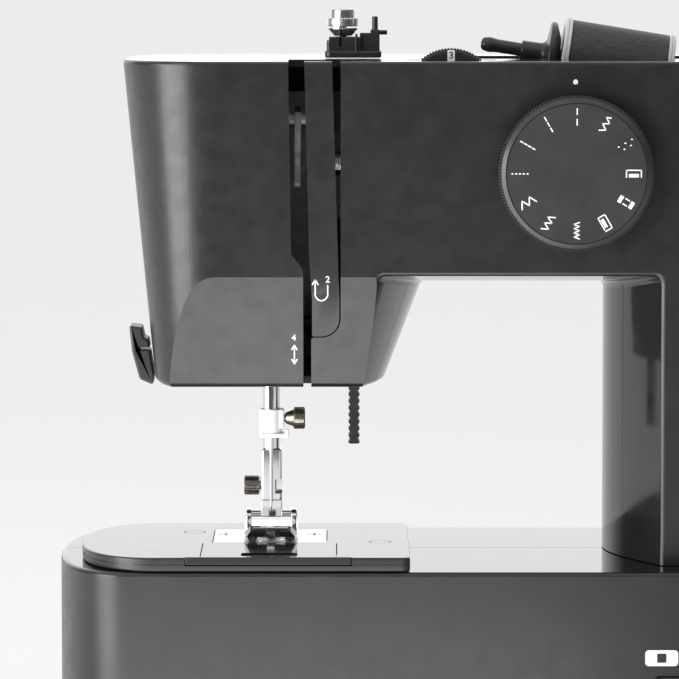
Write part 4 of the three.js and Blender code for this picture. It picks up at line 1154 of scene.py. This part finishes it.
def rear_sockets():
    x0, x1, y0, y1, z0, z1 = span("power_inlet")
    inlet = tablet("skin", x0 + 1, x1 - 1, y0, y1, z0 + 1, z1 - 1, 1, 0.3)
    fuse(inlet, tablet("flange", x0, x1, 54, 57.1, z0, z1, 1, 0.2))
    cavity = rounded([(98, 27.5, 3), (112, 27.5, 3), (112, 35.5, 0.8), (98, 35.5, 0.8)])
    cut(inlet, prism("cavity", cavity, 51, 70, "y"))
    for x in (101.7, 108.3):
        fuse(inlet, block("pin", x - 0.7, x + 0.7, 50, 57, 30.5, 32.5, 0.3))
    show(inlet, "power_inlet")

    def is_pin(centre, normal):
        return 100.9 < centre.x < 109.1 and centre.y < 57.2 and 30.4 < centre.z < 32.6

    paint(inlet, MATERIALS["steel"], is_pin)

    x, _, z = axis_of("pedal_jack")
    place = (x, 0, z)
    jack = rod("skin", 6, 46, 59.6, place, "y", 0.5)
    fuse(jack, rod("flange", 7.5, 54, 57.1, place, "y", 0.2))
    show(cut(jack, bore(3.6, 49, 70, place, "y")), "pedal_jack")


def rubber_feet():
    for k in range(1, 5):
        node = f"rubber_foot_{k}"
        x, y, _ = axis_of(node)
        foot = rounded([(0, 0.5), (5.5, 0.5), (6, 0), (8, 0, 0.3), (9, 1, 0.6), (9, 4), (0, 4)], 4)
        show(lathe("skin", foot, (x, y, 0)), node)


# ---------------------------------------------------------------- light and view

PAPER = 0.85           # how much light the floor gives back
REACH = 20000          # how far the floor runs
HORIZON = -1000        # where its front part starts


def floor_part(name, y0, y1):
    corners = [(x, y, 0) for x, y in rectangle(-REACH, REACH, y0, y1)]
    floor = mesh_object(name, corners, [(0, 1, 2, 3)])
    floor.data.materials.append(bpy.data.materials["pale_floor"])
    return floor


def stage():
    """A pale floor. Reflections leave out its front part, so that the front mirrors the dark room."""
    paper = new_material("pale_floor", (PAPER, PAPER, PAPER), 0.9)
    relief(paper, noise(paper, 3, 2), 0.05, 0.2)
    floor_part("floor", HORIZON, REACH)
    near = floor_part("floor_in_front", -REACH, HORIZON)
    near.visible_glossy = False


ROOM = 0.1             # radiance all round
BACKDROP = 1.45        # what the white paper behind adds
OVERHEAD = 0.98        # what the ceiling adds
SEEN = 0.9             # the background that the camera sees


def world_light():
    """A dim room with white paper behind and a bright ceiling. The camera sees only plain pale light."""
    world = bpy.data.worlds.new("studio")
    world.use_nodes = True
    scene.world = world
    place = add_node(world, "ShaderNodeTexCoord").outputs["Generated"]
    parts = add_node(world, "ShaderNodeSeparateXYZ", [(0, place)])
    total = ROOM
    for axis, low, high, radiance in (("Y", 0.62, 0.88, BACKDROP), ("Z", 0.2, 0.75, OVERHEAD)):
        links = [("Value", parts.outputs[axis]), ("From Min", low), ("From Max", high), ("To Max", radiance)]
        shade = add_node(world, "ShaderNodeMapRange", links, interpolation_type="SMOOTHSTEP")
        total = add_node(world, "ShaderNodeMath", [(0, shade.outputs[0]), (1, total)]).outputs[0]
    camera_ray = add_node(world, "ShaderNodeLightPath").outputs["Is Camera Ray"]
    light = add_node(world, "ShaderNodeMix", [("Factor", camera_ray), ("A", total), ("B", SEEN)])
    background = world.node_tree.nodes["Background"]
    world.node_tree.links.new(light.outputs["Result"], background.inputs["Color"])


def panel(name, place, turn_to, width, height, radiance):
    """A soft light that surfaces see and the camera doesn't."""
    data = bpy.data.lights.new(name, "AREA")
    data.shape = "RECTANGLE"
    data.size = width
    data.size_y = height
    data.energy = radiance * math.pi * width * height
    light = bpy.data.objects.new(name, data)
    light.location = place
    light.rotation_euler = (Vector(turn_to) - Vector(place)).to_track_quat("-Z", "Y").to_euler()
    light.visible_camera = False
    scene.collection.objects.link(light)


def place_camera():
    data = bpy.data.cameras.new("camera")
    data.sensor_width = 36
    data.lens = 254.49
    camera = bpy.data.objects.new("camera", data)
    camera.location = (-0.051, -1.6595, 0.2988)
    camera.rotation_euler = (math.radians(90 - 5.113), 0, 0)
    scene.collection.objects.link(camera)
    scene.camera = camera


scene.view_settings.view_transform = "Standard"
place_camera()
world_light()
panel("left_panel", (-1.0, -0.62, 0.25), (-0.1, 0, 0.14), 0.9, 0.5, 9.5)
panel("low_panel", (-0.25, -0.25, 0.004), (-0.25, -0.25, 1), 0.6, 0.24, 4)
stage()
upper_covers()
base_shells()
bed_plate()
needle_plate()
bobbin_cover()
needle_parts()
presser_parts()
presser_foot()
presser_lifter()
thread_cutter()
stitch_dial()
tension_dial()
thread_guide()
spool_parts()
handwheel()
winder()
front_controls()
threading_marks()
rear_sockets()
rubber_feet()

for node, obj in frame["nodes"].items():
    obj.data.materials.clear()
    obj.data.materials.append(MATERIALS[slot_of[node]])
# The take-up lever gets the darker steel, which is painted shade for its place inside the head.
frame["nodes"]["take_up_lever"].data.materials[0] = PAINTED_SHADE_STEEL
